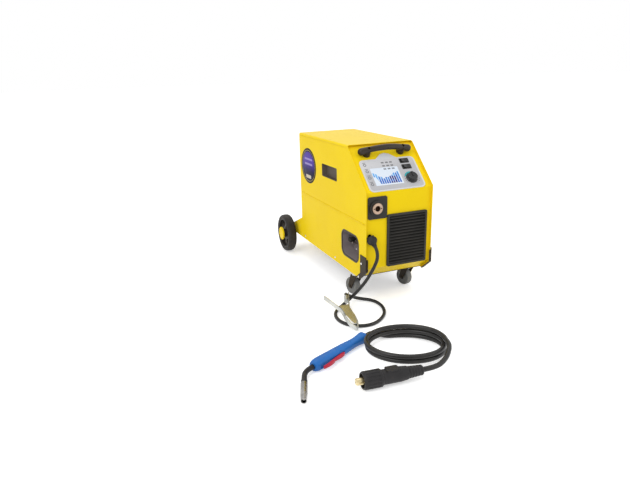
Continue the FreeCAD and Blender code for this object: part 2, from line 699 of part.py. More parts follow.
def current_knob():
    """Skirted knob with a pointer bar, on a shaft through the fascia."""
    low = FASCIA_T + GAP
    skirt = lathe([(0, low), (KNOB_R, low), (KNOB_R, low + 2), (KNOB_R - 3, low + 4), (KNOB_R - 4, KNOB_H - 1),
                   (KNOB_R - 5, KNOB_H), (0, KNOB_H)])
    pointer = pad(5, KNOB_R - 2, 2, KNOB_H - 1, KNOB_H + 2, 0, (KNOB_R - 2) / 2 - 2)
    shaft = disc(KNOB_SHAFT_R, -SHEET - STANDOFF, low + 1)
    knob = join(skirt, pointer, shaft)
    knob.translate(Vector(CONTROL_X, KNOB_S, 0))
    return put(knob, SLOPE_FACE)


# Front face fittings

def socket_plate():
    plate = pad(SOCKET_PLATE_W, SOCKET_PLATE_H, 6, 0, SOCKET_PLATE_T, SOCKET_X + SOCKET_PLATE_SHIFT, SOCKET_Z)
    collar = disc(COLLAR_R, 0, SOCKET_PLATE_T + COLLAR_T, SOCKET_X, SOCKET_Z)
    hole = disc(SOCKET_R + FIT, -1, SOCKET_PLATE_T + COLLAR_T + 1, SOCKET_X, SOCKET_Z)
    return put(join(plate, collar).cut(hole), FRONT_FACE)


def torch_socket():
    """Brass receptacle: a bore for the torch plug's pin, two pilot holes and a flange behind the panel."""
    body = disc(SOCKET_R, -SHEET, SOCKET_REACH)
    flange = disc(SOCKET_R + 7, -SHEET - 5, -SHEET)
    tail = disc(SOCKET_R - 3, -SOCKET_BACK, -SHEET)
    cuts = [disc(SOCKET_BORE_R, SOCKET_REACH - SOCKET_BORE_DEPTH, SOCKET_REACH + 1),
            disc(WIRE_D * 2, -SOCKET_BACK - 1, SOCKET_REACH)]
    for side in (-1, 1):
        cuts.append(disc(PILOT_R, SOCKET_REACH - 12, SOCKET_REACH + 1, side * PILOT_OFFSET, 0))
    socket = join(body, flange, tail).cut(cuts)
    socket.translate(Vector(SOCKET_X, SOCKET_Z, 0))
    return put(socket, FRONT_FACE)


def louvre_grille():
    frame_ring = pad(GRILLE_W, GRILLE_H, GRILLE_CORNER, 0, GRILLE_T)
    inner_w = GRILLE_W - 2 * GRILLE_FRAME
    inner_h = GRILLE_H - 2 * GRILLE_FRAME
    plug_depth = SHEET + 2
    plug = pad(GRILLE_W - GRILLE_FRAME - 2 * FIT, GRILLE_H - GRILLE_FRAME - 2 * FIT, 6, -plug_depth, 0)
    grille = join(frame_ring, plug).cut(pad(inner_w, inner_h, 4, -plug_depth - 1, GRILLE_T + 1))
    pitch = inner_h / SLAT_COUNT
    lean = math.radians(SLAT_TILT)
    depth = GRILLE_T + plug_depth - 1
    drop = depth * math.tan(lean)
    slats = []
    for index in range(SLAT_COUNT):
        y = -inner_h / 2 + (index + 0.5) * pitch + drop / 2
        outline = [(GRILLE_T - 0.5, y - drop), (GRILLE_T - 0.5, y - drop + SLAT_T),
                   (GRILLE_T - 0.5 - depth, y + SLAT_T), (GRILLE_T - 0.5 - depth, y)]
        corners = [Vector(-inner_w / 2 - 1, v, z) for z, v in outline]
        slats.append(Part.Face(Part.makePolygon(corners + corners[:1])).extrude(Vector(inner_w + 2, 0, 0)))
    grille = join(grille, *slats)
    grille.translate(Vector(GRILLE_X, GRILLE_Z, 0))
    return put(grille, FRONT_FACE)


def gland_tip():
    """Where the earth cable leaves its gland, and the way it points."""
    lean = Vector(GLAND_LEAN).normalize()
    root = Vector(GLAND_X, PANEL_Y - GLAND_T + 1, GLAND_Z)
    return root + lean * GLAND_LENGTH, lean, root


def earth_gland():
    tip, lean, root = gland_tip()
    nut = slab([(GLAND_X + GLAND_R * math.cos(math.radians(60 * k)),
                 GLAND_Z + GLAND_R * math.sin(math.radians(60 * k))) for k in range(6)], 0, GLAND_T)
    neck = disc(GLAND_R / 2 - FIT, -SHEET - 6, 0, GLAND_X, GLAND_Z)
    lock = disc(GLAND_R - 2, -SHEET - 4, -SHEET, GLAND_X, GLAND_Z)
    sleeve = Part.makeCone(GLAND_R - 3, EARTH_CABLE_R + 1, GLAND_LENGTH, root, lean)
    sleeve = sleeve.common(box(-2 * SIDE, 0, FRONT - 2 * GLAND_LENGTH, PANEL_Y, 0, TOP_Z))
    return join(put(join(nut, neck, lock), FRONT_FACE), sleeve)


def corner_guards():
    """Angle strips over the two front edges, following the chamfer down to the base."""
    proud = inset_outline(chamfer=-GUARD_T, front=-GUARD_T)
    inner = inset_outline(chamfer=GUARD_LOW, front=GUARD_SIDE)
    edge = inset_outline()
    corners = [proud[0], proud[1], (proud[1][0], GUARD_TOP), (inner[1][0], GUARD_TOP), inner[1], inner[0]]
    side = plate_yz(corners,
                    -SIDE - GUARD_T, -SIDE)
    front = plate_yz([proud[0], proud[1], (proud[1][0], GUARD_TOP - 8), (edge[1][0], GUARD_TOP - 8), edge[1],
                      edge[0]], -SIDE - GUARD_T, -SIDE + GUARD_FRONT)
    left = join(side, front)
    return Part.makeCompound([left, mirrored(left)])


def screw_head(face, x, y, z=0.0):
    """Domed head seated on a face of the cabinet."""
    top = z + SCREW_H
    head = lathe([(0, z), (SCREW_R, z), (SCREW_R, z + SCREW_H * 0.4), (SCREW_R * 0.62, top), (0, top)])
    head.translate(Vector(x, y, 0))
    return put(head, face)


def case_screws():
    heads = []
    for back, z in GUARD_SCREWS:
        heads.append(screw_head(LEFT_FACE, -back, z, GUARD_T))
        heads.append(screw_head(RIGHT_FACE, back, z, GUARD_T))
    for back in (BODY_DEPTH * 0.42, BODY_DEPTH * 0.94):
        heads.append(screw_head(LEFT_FACE, -back, BASE_Z + TRAY_FLANGE / 2 + 3))
        heads.append(screw_head(RIGHT_FACE, back, BASE_Z + TRAY_FLANGE / 2 + 3))
        heads.append(screw_head(RIGHT_FACE, back, TOP_Z - 30))
    for side in (-1, 1):
        for z in (SHELF_WING_HIGH + 15, CRADLE_Z - 60, TOP_Z - 20):
            heads.append(screw_head(REAR_FACE, side * (SIDE - 12), z))
    return Part.makeCompound(heads)


# Running gear

def rear_axle():
    """Axle under the shelf, held by two saddles, with its spacers and end washers."""
    y = FRONT + REAR_WHEEL_BACK
    hub_in = REAR_WHEEL_X - HUB_LENGTH / 2
    hub_out = REAR_WHEEL_X + HUB_LENGTH / 2
    pieces = [rod((-hub_out - AXLE_END, y, REAR_WHEEL_R), X_DIR, AXLE_R, 2 * (hub_out + AXLE_END))]
    for side in (-1, 1):
        along = X_DIR * side
        pieces.append(rod((side * SIDE, y, REAR_WHEEL_R), along, AXLE_R + 4, hub_in - GAP - SIDE))
        pieces.append(rod((side * (hub_out + GAP), y, REAR_WHEEL_R), along, AXLE_R + 3, AXLE_END - GAP))
        outer = side * (SIDE - SADDLE_EDGE)
        saddle_x = sorted((outer, outer - side * SADDLE_W))
        pieces.append(box(*saddle_x, REAR + SADDLE_FRONT, REAR + SADDLE_REAR, BASE_Z - SADDLE_H, BASE_Z))
    return join(*pieces)


def hub_caps():
    """Push-on caps over the axle's ends."""
    hub_out = REAR_WHEEL_X + HUB_LENGTH / 2
    low, high = hub_out + GAP, hub_out + AXLE_END + HUB_CAP_T
    room = AXLE_R + 3 + FIT
    caps = []
    for side in (-1, 1):
        cap = lathe([(room, low), (HUB_CAP_R - 1, low), (HUB_CAP_R, low + 1), (HUB_CAP_R, high - 2),
                     (HUB_CAP_R - 2, high), (0, high), (0, hub_out + AXLE_END), (room, hub_out + AXLE_END)])
        cap.translate(Vector(0, 0, -REAR_WHEEL_X))
        caps.append(put(cap, wheel_place(side)))
    return Part.makeCompound(caps)


def wheel_place(side):
    """Frame of a rear wheel: local z points outwards along the axle."""
    return frame(Vector(side * REAR_WHEEL_X, FRONT + REAR_WHEEL_BACK, REAR_WHEEL_R), Y_DIR * side, Z_DIR)


def rear_rim(side):
    half_w = REAR_WHEEL_W / 2
    half_hub = HUB_LENGTH / 2
    bore = AXLE_R + RUNNING
    barrel = lathe([(RIM_R - 6, -half_w + 3), (RIM_R, -half_w + 3), (RIM_R, half_w - 3), (RIM_R - 3, half_w - 1),
                    (RIM_R - 6, half_w - 3)])
    web = lathe([(bore, -4), (RIM_R - 5, -4), (RIM_R - 5, 4), (HUB_R + 8, 7), (bore, 7)])
    hub = ring(HUB_R, bore, -half_hub, half_hub)
    holes = []
    for index in range(RIM_HOLES):
        angle = 2 * math.pi * index / RIM_HOLES
        reach = (RIM_R + HUB_R) / 2
        holes.append(disc(RIM_HOLE_R, -20, 20, reach * math.cos(angle), reach * math.sin(angle)))
    return put(join(barrel, web.cut(holes), hub), wheel_place(side))


def rear_tyre(side):
    half_w = REAR_WHEEL_W / 2
    wall = (RIM_R + REAR_WHEEL_R) / 2
    tyre = lathe([
        (RIM_R, -half_w + 3), (RIM_R + 2, -half_w + 1), (wall, -half_w), (REAR_WHEEL_R - 4, -half_w + 2),
        (REAR_WHEEL_R - 1, -half_w + 7), (REAR_WHEEL_R, -half_w + 13), (REAR_WHEEL_R, half_w - 13),
        (REAR_WHEEL_R - 1, half_w - 7), (REAR_WHEEL_R - 4, half_w - 2), (wall, half_w),
        (RIM_R + 2, half_w - 1), (RIM_R, half_w - 3),
    ])
    return put(tyre, wheel_place(side))


def caster_plates():
    """Two top plates, each with the race cup and the kingpin that its fork swivels on."""
    plates = []
    crown_low = BASE_Z - CASTER_PLATE_T - CASTER_CUP_H - GAP - 2 * FORK_T
    for side in (-1, 1):
        x, y = side * CASTER_X, FRONT + CASTER_BACK
        plate = pad(CASTER_PLATE_W, CASTER_PLATE_D, 5, BASE_Z - CASTER_PLATE_T, BASE_Z, x, y)
        cup = disc(CASTER_CUP_R, BASE_Z - CASTER_PLATE_T - CASTER_CUP_H, BASE_Z - CASTER_PLATE_T, x, y)
        pin = disc(KINGPIN_R, crown_low - 4, BASE_Z - CASTER_PLATE_T, x, y)
        head = disc(KINGPIN_R + 3, crown_low - 4, crown_low - GAP, x, y)
        plates.append(join(plate, cup, pin, head))
    return Part.makeCompound(plates)


def swivelled(shape, side):
    """The shape turned about its caster's kingpin to where the photograph shows it."""
    turned = shape.copy()
    turned.rotate(Vector(side * CASTER_X, FRONT + CASTER_BACK, 0), Z_DIR, CASTER_TURN)
    return turned


def caster_fork(side):
    x, y = side * CASTER_X, FRONT + CASTER_BACK
    wheel_y = y + CASTER_TRAIL
    crown_top = BASE_Z - CASTER_PLATE_T - CASTER_CUP_H - GAP
    crown = disc(CASTER_CUP_R - 1, crown_top - 2 * FORK_T, crown_top, x, y)
    cheek_in = CASTER_W / 2 + 1.3
    cheeks = []
    for face in (-1, 1):
        x_low = x + face * cheek_in if face > 0 else x - cheek_in - FORK_T
        cheeks.append(plate_yz([
            (y - 15, crown_top), (y + 15, crown_top), (wheel_y + 9, CASTER_R + 3), (wheel_y + 7, CASTER_R - 7),
            (wheel_y - 6, CASTER_R - 8), (wheel_y - 10, CASTER_R)], x_low, x_low + FORK_T))
    bridge = box(x - cheek_in - FORK_T, x + cheek_in + FORK_T, y - 15, y + 15, crown_top - FORK_T, crown_top)
    reach = cheek_in + FORK_T + 2
    axle = rod((x - reach, wheel_y, CASTER_R), X_DIR, CASTER_AXLE_R, 2 * reach)
    bore = disc(KINGPIN_R + RUNNING, crown_top - 2 * FORK_T - 1, crown_top + 1, x, y)
    return swivelled(join(crown, bridge, axle, *cheeks).cut(bore), side)


def caster_wheel(side):
    half = CASTER_W / 2
    wheel = lathe([
        (CASTER_AXLE_R + RUNNING, -half - 1), (8, -half - 1), (8, -half + 2), (CASTER_R - 7, -half + 2),
        (CASTER_R - 5, -half), (CASTER_R - 1.5, -half + 1), (CASTER_R, -half + 4), (CASTER_R, half - 4),
        (CASTER_R - 1.5, half - 1), (CASTER_R - 5, half), (CASTER_R - 7, half - 2), (8, half - 2), (8, half + 1),
        (CASTER_AXLE_R + RUNNING, half + 1),
    ])
    place = frame(Vector(side * CASTER_X, FRONT + CASTER_BACK + CASTER_TRAIL, CASTER_R), Y_DIR, Z_DIR)
    return swivelled(put(wheel, place), side)


# Inside

def transformer_core():
    leg = CORE_W / 6
    y = FRONT + CORE_BACK
    core = box(CORE_X - CORE_W / 2, CORE_X + CORE_W / 2, y - CORE_T / 2, y + CORE_T / 2,
               TRAY_TOP, TRAY_TOP + CORE_H)
    windows = []
    for side in (-1, 1):
        middle = CORE_X + side * 1.5 * leg
        windows.append(box(middle - leg / 2, middle + leg / 2, y - CORE_T, y + CORE_T, TRAY_TOP + leg,
                           TRAY_TOP + CORE_H - leg))
    return core.cut(windows)


def transformer_windings():
    leg = CORE_W / 6
    y = FRONT + CORE_BACK
    low, high = TRAY_TOP + leg + 1, TRAY_TOP + CORE_H - leg - 1
    outer = pad(4 * leg - 1, CORE_T + 2 * leg, 6, low, high, CORE_X, y)
    return outer.cut(box(CORE_X - leg, CORE_X + leg, y - CORE_T / 2, y + CORE_T / 2, low - 1, high + 1))


def rectifier_heatsink():
    y = FRONT + HEATSINK_BACK
    left = HEATSINK_X - HEATSINK_W / 2
    front, back = y - HEATSINK_D / 2, y + HEATSINK_D / 2
    base = box(left, left + HEATSINK_W, front, back, TRAY_TOP, TRAY_TOP + HEATSINK_BASE)
    fins = []
    pitch = (HEATSINK_W - FIN_T) / (FIN_COUNT - 1)
    for index in range(FIN_COUNT):
        x = left + index * pitch
        fins.append(box(x, x + FIN_T, front, back, TRAY_TOP + HEATSINK_BASE, TRAY_TOP + HEATSINK_H))
    return join(base, *fins)


def fan_place():
    return frame(Vector(FAN_X, REAR_INNER, FAN_Z), X_DIR, Z_DIR)


def fan_frame():
    """Square fan housing with a hub pin on three struts; local z points to the front of the cabinet."""
    housing = pad(FAN_SIZE, FAN_SIZE, 6, 0, FAN_T).cut(disc(FAN_BORE_R, -1, FAN_T + 1))
    hub = disc(16, 0, 4)
    pin = disc(3, 0, FAN_T - 3)
    struts = []
    for angle in (90, 210, 330):
        strut = box(10, FAN_BORE_R + 1, -2.5, 2.5, 0, 3)
        strut.rotate(Vector(), Z_DIR, angle)
        struts.append(strut)
    return put(join(housing, hub, pin, *struts), fan_place())


def fan_rotor():
    hub = disc(18, 5, FAN_T - 2)
    blades = []
    for index in range(FAN_BLADES):
        blade = box(14, FAN_BORE_R - 2, -1, 1, -10, 10)
        blade.rotate(Vector(), X_DIR, 50)
        blade.translate(Vector(0, 0, FAN_T / 2 + 1))
        blade.rotate(Vector(), Z_DIR, index * 360.0 / FAN_BLADES)
        blades.append(blade)
    rotor = join(hub, *blades).cut(disc(3 + RUNNING, -10, FAN_T + 10))
    return put(rotor, fan_place())


def control_board():
    """Circuit board on standoffs behind the slope, with the potentiometer that the knob's shaft turns in."""
    low = -SHEET - STANDOFF
    right = BOARD_X + BOARD_W
    foot = CONTROL_X + 22
    step = KNOB_S + 20
    high = BOARD_LOW + BOARD_H
    board = slab([(BOARD_X, BOARD_LOW), (foot, BOARD_LOW), (foot, step), (right, step), (right, high),
                  (BOARD_X, high)], low - 1.6, low)
    pieces = [board, disc(11, low, -SHEET, CONTROL_X, KNOB_S)]
    for x, y in ((BOARD_X + 6, BOARD_LOW + 6), (BOARD_X + 6, high - 6), (right - 6, high - 6)):
        pieces.append(disc(3, low, -SHEET, x, y))
    for across, y, w, h, deep in ((0.24, 92, 0.3, 20, 16), (0.69, 94, 0.32, 14, 10), (0.21, 62, 0.27, 18, 6),
                                  (0.66, 60, 0.37, 12, 12), (0.26, 38, 0.25, 22, 20)):
        pieces.append(pad(w * BOARD_W, h, 1, low - 1.6 - deep, low - 1.6, BOARD_X + across * BOARD_W, y))
    shaft_way = disc(KNOB_SHAFT_R + RUNNING, low - 3, 0, CONTROL_X, KNOB_S)
    return put(join(*pieces).cut(shaft_way), SLOPE_FACE)


def gas_valve():
    """Solenoid valve behind the rear panel, with its gas inlet pin outside."""
    x = -GAS_X
    body = pad(34, 30, 2, -SHEET - 40, -SHEET, x, GAS_Z)
    coil = disc(13, -SHEET - 30, -SHEET - 8, x, GAS_Z + 20)
    neck = disc(GAS_PIN_R + 1.4, -SHEET, 0, x, GAS_Z)
    nut = slab([(x + 9 * math.cos(math.radians(60 * k)), GAS_Z + 9 * math.sin(math.radians(60 * k)))
                for k in range(6)], 0, 6)
    pin = disc(GAS_PIN_R, 6, 6 + GAS_PIN_LENGTH, x, GAS_Z)
    bore = disc(2, 0, 7 + GAS_PIN_LENGTH, x, GAS_Z)
    return put(join(body, coil, neck, nut, pin).cut(bore), REAR_FACE)


def mains_gland():
    x = -MAINS_X
    outer = MAINS_BORE_R + 4
    nut = slab([(x + 14 * math.cos(math.radians(60 * k)), MAINS_Z + 14 * math.sin(math.radians(60 * k)))
                for k in range(6)], 0, 8)
    dome = lathe([(0, 8), (outer + 2, 8), (outer + 1, 14), (MAINS_BORE_R + 2, MAINS_LENGTH - SHEET - 4),
                  (0, MAINS_LENGTH - SHEET - 4)])
    dome.translate(Vector(x, MAINS_Z, 0))
    neck = disc(outer - FIT, -SHEET, 0, x, MAINS_Z)
    lock = disc(outer + 3, -SHEET - 4, -SHEET, x, MAINS_Z)
    gland = join(nut, dome, neck, lock).cut(disc(MAINS_BORE_R, -SHEET - 5, MAINS_LENGTH, x, MAINS_Z))
    return put(gland, REAR_FACE)


def feed_centre():
    """Axis of the drive roller: the wire passes over it in line with the torch socket."""
    return FRONT + FEED_BACK, SOCKET_Z - FEED_ROLLER_R - WIRE_D / 2


def feed_motor():
    """Geared motor behind the bulkhead, with the cast feed block that stands through it."""
    y, z = feed_centre()
    block_x = SOCKET_X + FEED_ROLLER_W / 2 + 4
    face = BULKHEAD_X - SHEET
    low, high = SOCKET_Z - 42, SOCKET_Z - 4
    block = box(block_x, face, y - 50, y + 50, low, high)
    ear = box(block_x, block_x + 10, y - 48, y - 28, high, SOCKET_Z + 26)
    neck = box(face, BULKHEAD_X, y - 23.8, y + 23.8, SOCKET_Z - 34.8, SOCKET_Z - 5.2)
    gearbox = box(BULKHEAD_X, BULKHEAD_X + 34, y - 32, y + 32, SOCKET_Z - 44, SOCKET_Z + 2)
    motor = rod((BULKHEAD_X + 34, y + 4, SOCKET_Z - 22), X_DIR, 22, 62)
    arm_low, _ = arm_plane()
    pivot = rod((block_x + 10, y - 38, SOCKET_Z + 14), -X_DIR, 3, block_x + 10 - arm_low + GAP + 2)
    pivot_head = rod((arm_low - GAP, y - 38, SOCKET_Z + 14), -X_DIR, 5.5, 2)
    way = rod((block_x - 1, y, z), X_DIR, FEED_SHAFT_R + RUNNING, 22)
    return join(block, ear, neck, gearbox, motor, pivot, pivot_head).cut(way)


def drive_roller():
    y, z = feed_centre()
    centre = SOCKET_X
    half = FEED_ROLLER_W / 2
    profile = [(0, -half), (FEED_ROLLER_R, -half), (FEED_ROLLER_R, -0.5), (FEED_ROLLER_R - 0.5, 0),
               (FEED_ROLLER_R, 0.5), (FEED_ROLLER_R, half), (7, half), (7, half + 3), (0, half + 3)]
    roller = put(lathe(profile), frame(Vector(centre, y, z), -Y_DIR, Z_DIR))
    shaft = rod((centre, y, z), X_DIR, FEED_SHAFT_R, half + 4 + 20)
    return join(roller, shaft)


def arm_plane():
    """Low and high x of the pressure arm, between the feed block's ear and the pressure roller."""
    block_x = SOCKET_X + FEED_ROLLER_W / 2 + 4
    return SOCKET_X + FEED_ROLLER_W / 2 + GAP, block_x - GAP


def pressure_arm():
    y, _ = feed_centre()
    low, high = arm_plane()
    top = SOCKET_Z + FEED_ROLLER_R + WIRE_D / 2
    arm = plate_yz([(y - 46, SOCKET_Z + 7), (y + 44, top - 8), (y + 48, top + 6), (y - 30, SOCKET_Z + 24),
                    (y - 46, SOCKET_Z + 20)], low, high)
    bore = rod((low - 1, y - 38, SOCKET_Z + 14), X_DIR, 3 + RUNNING, high - low + 2)
    axle = rod((high, y, top), -X_DIR, 3, high - low + FEED_ROLLER_W + 2)
    knob = rod(((low + high) / 2, y + 38, top + 2), Z_DIR, 7, 24)
    return join(arm, knob, axle).cut(bore)


def pressure_roller():
    y, _ = feed_centre()
    top = SOCKET_Z + FEED_ROLLER_R + WIRE_D / 2
    half = FEED_ROLLER_W / 2
    return put(ring(FEED_ROLLER_R, 3 + RUNNING, -half, half), frame(Vector(SOCKET_X, y, top), -Y_DIR, Z_DIR))


def spool_middle():
    """X of the wire spool's middle plane."""
    return -INNER + 8 + SPOOL_W / 2


def wire_spool():
    """Spool with its wound wire, between two flanges with openings."""
    half = SPOOL_W / 2
    flange = 3.0
    winding = SPOOL_WINDING_R
    hub = SPINDLE_R + 3
    spool = lathe([(SPINDLE_R + RUNNING, -half), (SPOOL_R, -half), (SPOOL_R, -half + flange),
                   (winding, -half + flange), (winding, half - flange), (SPOOL_R, half - flange),
                   (SPOOL_R, half), (SPOOL_CORE_R, half), (SPOOL_CORE_R, -half + flange),
                   (hub, -half + flange), (hub, half), (SPINDLE_R + RUNNING, half)])
    return put(spool, frame(Vector(spool_middle(), FRONT + SPOOL_BACK, SPOOL_Z), -Y_DIR, Z_DIR))


# Torch set

def torch_place():
    """Torch frame: local x points to the nose, local y to the trigger side, local z up."""
    heading = math.radians(TORCH_HEADING)
    along = Vector(math.cos(heading), math.sin(heading), 0)
    nose = TORCH_NOSE + Vector(0, FRONT, TORCH_H / 2 + FLOOR_GAP)
    return frame(nose, along, Z_DIR.cross(along))


def grip_section(x, width, height, y=0.0, z=0.0):
    """Rounded section of the torch handle at a station along its axis."""
    wire = rounded_wire(width, height, min(width, height) * 0.42)
    return put_wire(wire, frame(Vector(x, y, z), Y_DIR, Z_DIR))


def put_wire(wire, placement):
    moved = wire.copy()
    moved.Placement = placement.multiply(moved.Placement)
    return moved


def torch_handle():
    """Moulded grip: (share of the length from the nose, share of the width, share of the height)."""
    stations = ((0, 0.72, 0.74), (0.04, 0.92, 0.92), (0.13, 1.0, 1.0), (0.355, 0.93, 0.97), (0.62, 0.84, 0.88),
                (0.88, 0.82, 0.84), (0.95, 0.94, 0.92), (1.0, 0.96, 0.94))
    sections = [grip_section(-share * TORCH_LENGTH, TORCH_W * w, TORCH_H * h) for share, w, h in stations]
    grip = Part.makeLoft(sections, True, False)
    half = TRIGGER_W / 2 + 2 * GAP
    pocket = box(-TRIGGER_PIN_BACK + 10, -TRIGGER_FRONT + 2, TORCH_W * 0.5 - 3.5, TORCH_W, -half, half)
    rocker_way = box(-TRIGGER_PIN_BACK - 12, -TRIGGER_PIN_BACK + 12, TORCH_W * 0.30, TORCH_W, -half, half)
    rear_well = rod((-TORCH_LENGTH - 1, 0, 0), X_DIR, TORCH_CABLE_R + RUNNING, 3)
    neck_bore = rod((-NECK_SEAT, 0, 0), X_DIR, NECK_R + RUNNING, NECK_SEAT + 1)
    grip = grip.cut([pocket, rocker_way, rear_well, neck_bore])
    pin = disc(TRIGGER_PIN_R, -TORCH_H * 0.40, TORCH_H * 0.40, -TRIGGER_PIN_BACK, TORCH_W * 0.38)
    return put(join(grip, pin), torch_place())


def torch_trigger():
    """Sprung lever on a pin near its back end: shares of the torch's length and of its width."""
    side = TORCH_W * 0.5
    blade = ((0.071, 0.265), (0.190, 0.280), (0.313, 0.190), (0.493, 0.030), (0.502, -0.088), (0.464, -0.176),
             (0.398, -0.044), (0.294, 0.030), (0.190, 0.162), (0.071, 0.176))
    outline = [(-along * TORCH_LENGTH, side + across * TORCH_W) for along, across in blade]
    lever = slab(outline, -TRIGGER_W / 2, TRIGGER_W / 2)
    lever = lever.cut(disc(TRIGGER_PIN_R + RUNNING, -TRIGGER_W, TRIGGER_W, -TRIGGER_PIN_BACK, TORCH_W * 0.38))
    return put(lever, torch_place())


def neck_path():
    """Centre line of the swan neck in the torch frame, and the nozzle's start and direction."""
    bend = math.radians(NECK_BEND)
    start = Vector(-NECK_SEAT, 0, 0)
    first = Vector(NECK_FIRST, 0, 0)
    centre = first + Vector(0, NECK_BEND_R, 0)
    half = bend / 2
    middle = centre + Vector(math.sin(half), -math.cos(half), 0) * NECK_BEND_R
    last = centre + Vector(math.sin(bend), -math.cos(bend), 0) * NECK_BEND_R
    heading = Vector(math.cos(bend), math.sin(bend), 0)
    end = last + heading * NECK_LAST
    edges = [Part.LineSegment(start, first).toShape(), Part.Arc(first, middle, last).toShape(),
             Part.LineSegment(last, end).toShape()]
    return Part.Wire(edges), end, heading


def torch_neck():
    path, end, heading = neck_path()
    section = Part.Wire([Part.Circle(Vector(-NECK_SEAT, 0, 0), X_DIR, NECK_R).toShape()])
    neck = path.makePipeShell([section], True, False)
    collar = rod(end - heading * 14, heading, NECK_R + 1.2, 14)
    return put(join(neck, collar), torch_place())


def torch_nozzle():
    """Conical gas nozzle with the contact tip inside its open mouth."""
    _, end, heading = neck_path()
    length = NOZZLE_LENGTH
    inner = NOZZLE_R - NOZZLE_WALL
    shell = lathe([(0, 0), (NOZZLE_R, 0), (NOZZLE_R, length * 0.62), (NOZZLE_R - 1.5, length),
                   (inner - 1.5, length), (inner, length * 0.62), (inner, length * 0.35), (3.0, length * 0.35),
                   (3.0, length - 6), (0, length - 6)])
    side = Z_DIR.cross(heading)
    return put(put(shell, frame(end, side, Z_DIR)), torch_place())


def arc_between(start, tangent, end):
    """Arc from start, leaving along the tangent, to end."""
    chord = end - start
    half_way = (tangent + Vector(chord).normalize()).normalize()
    middle = start + half_way * (chord.dot(chord) / 2 / chord.dot(half_way))
    return Part.Arc(start, middle, end).toShape()


def biarc(start, start_dir, end, end_dir):
    """Two arcs that leave start and reach end along the given directions."""
    span = end - start
    both = start_dir + end_dir
    spread = 2 * (1 - start_dir.dot(end_dir))
    if spread < 1e-9:
        reach = span.dot(span) / (4 * span.dot(start_dir))
    else:
        reach = (-span.dot(both) + math.sqrt(span.dot(both) ** 2 + spread * span.dot(span))) / spread
    middle = (start + start_dir * reach + end - end_dir * reach) / 2
    turn = (Vector(end - end_dir * reach) - (start + start_dir * reach)).normalize()
    return [arc_between(start, start_dir, middle), arc_between(middle, turn, end)]


def cord_solid(edges, radius, name):
    """Round tube along tangent edges; prints its volume against section times length."""
    path = Part.Wire(edges)
    start = edges[0].Vertexes[0].Point
    heading = edges[0].tangentAt(edges[0].FirstParameter)
    section = Part.Wire([Part.Circle(start, heading, radius).toShape()])
    tube = path.makePipeShell([section], True, False)
    share = tube.Volume / (math.pi * radius ** 2 * path.Length)
    print("%s: length %.0f mm, volume over section times length %.4f" % (name, path.Length, share))
    return tube, path


def self_gap(path, radius, name):
    """Prints the least gap between stretches of a coil that lie apart along it."""
    step = radius
    points = path.discretize(Distance=step)
    skip = int(5 * radius / step) + 2
    least = min(points[i].distanceToPoint(points[j])
                for i in range(len(points)) for j in range(i + skip, len(points)))
    print("%s: least gap to itself %.2f mm" % (name, least - 2 * radius))


def route_edges(points, name):
    """Straight runs joined by tangent arcs, each as large as its two runs allow."""
    radii = []
    corners = []
    for before, point, after in zip(points, points[1:], points[2:]):
        into = point - before
        out = after - point
        shorter = min(into.Length, out.Length)
        into.normalize()
        out.normalize()
        half_turn = math.acos(max(-1.0, min(1.0, into.dot(out)))) / 2
        cut = 0.45 * shorter
        radii.append(cut / math.tan(half_turn))
        corners.append((point - into * cut, into, point + out * cut))
    edges = []
    last = points[0]
    for arc_start, into, arc_end in corners:
        edges.append(Part.LineSegment(last, arc_start).toShape())
        edges.append(arc_between(arc_start, into, arc_end))
        last = arc_end
    edges.append(Part.LineSegment(last, points[-1]).toShape())
    print("%s: arc radii %s mm" % (name, ", ".join("%.0f" % r for r in radii)))
    print("%s: corners %s" % (name, ", ".join("(%.0f, %.0f, %.0f)" % tuple(p) for p in points)))
    return edges


def coil_edges(place, heading, first, last, step):
    """Biarcs between stations of a loop's formula; place and heading take an angle in degrees."""
    count = max(1, round(abs(last - first) / step))
    edges = []
    for index in range(count):
        a = first + (last - first) * index / count
        b = first + (last - first) * (index + 1) / count
        edges += biarc(place(a), heading(a), place(b), heading(b))
    return edges


def heading_of(place, sign):
    """Direction of travel along a loop's formula."""
    def heading(angle):
        return (place(angle + sign * 0.05) - place(angle - sign * 0.05)).normalize()
    return heading


def torch_loop(angle):
    """Point of the torch cable's coil: stacked oval loops that climb one diameter a turn."""
    turn = math.radians(TORCH_COIL_TURN)
    across = Vector(math.cos(turn), math.sin(turn), 0)
    away = Z_DIR.cross(across)
    travelled = (TORCH_COIL_START - angle) / 360.0
    z = TORCH_CABLE_R + FLOOR_GAP + TORCH_COIL_PITCH * travelled
    sway = 1.0 + 0.016 * math.sin(math.radians(0.55 * (angle + 40)))
    centre = TORCH_COIL_CENTRE + Vector(0, FRONT, 0)
    return (centre + across * (TORCH_COIL_A * sway * math.cos(math.radians(angle)))
            + away * (TORCH_COIL_B * sway * math.sin(math.radians(angle))) + Vector(0, 0, z))


def handle_exit():
    """Where the cable leaves the torch handle, and its direction."""
    place = torch_place()
    end = place.multVec(Vector(-TORCH_LENGTH + 2, 0, 0))
    return end, place.Rotation.multVec(-X_DIR)


def torch_coil_edges():
    exit_point, exit_dir = handle_exit()
    heading = heading_of(torch_loop, -1)
    straight = exit_point + exit_dir * 2 * TORCH_CABLE_R
    edges = [Part.LineSegment(exit_point, straight).toShape()]
    edges += biarc(straight, exit_dir, torch_loop(TORCH_COIL_START), heading(TORCH_COIL_START))
    edges += coil_edges(torch_loop, heading, TORCH_COIL_START, TORCH_COIL_END, 90.0)
    end = torch_loop(TORCH_COIL_END)
    leave = heading(TORCH_COIL_END)
    edges.append(Part.LineSegment(end, end + leave * 2 * TORCH_CABLE_R).toShape())
    return edges, end + leave * 2 * TORCH_CABLE_R, leave


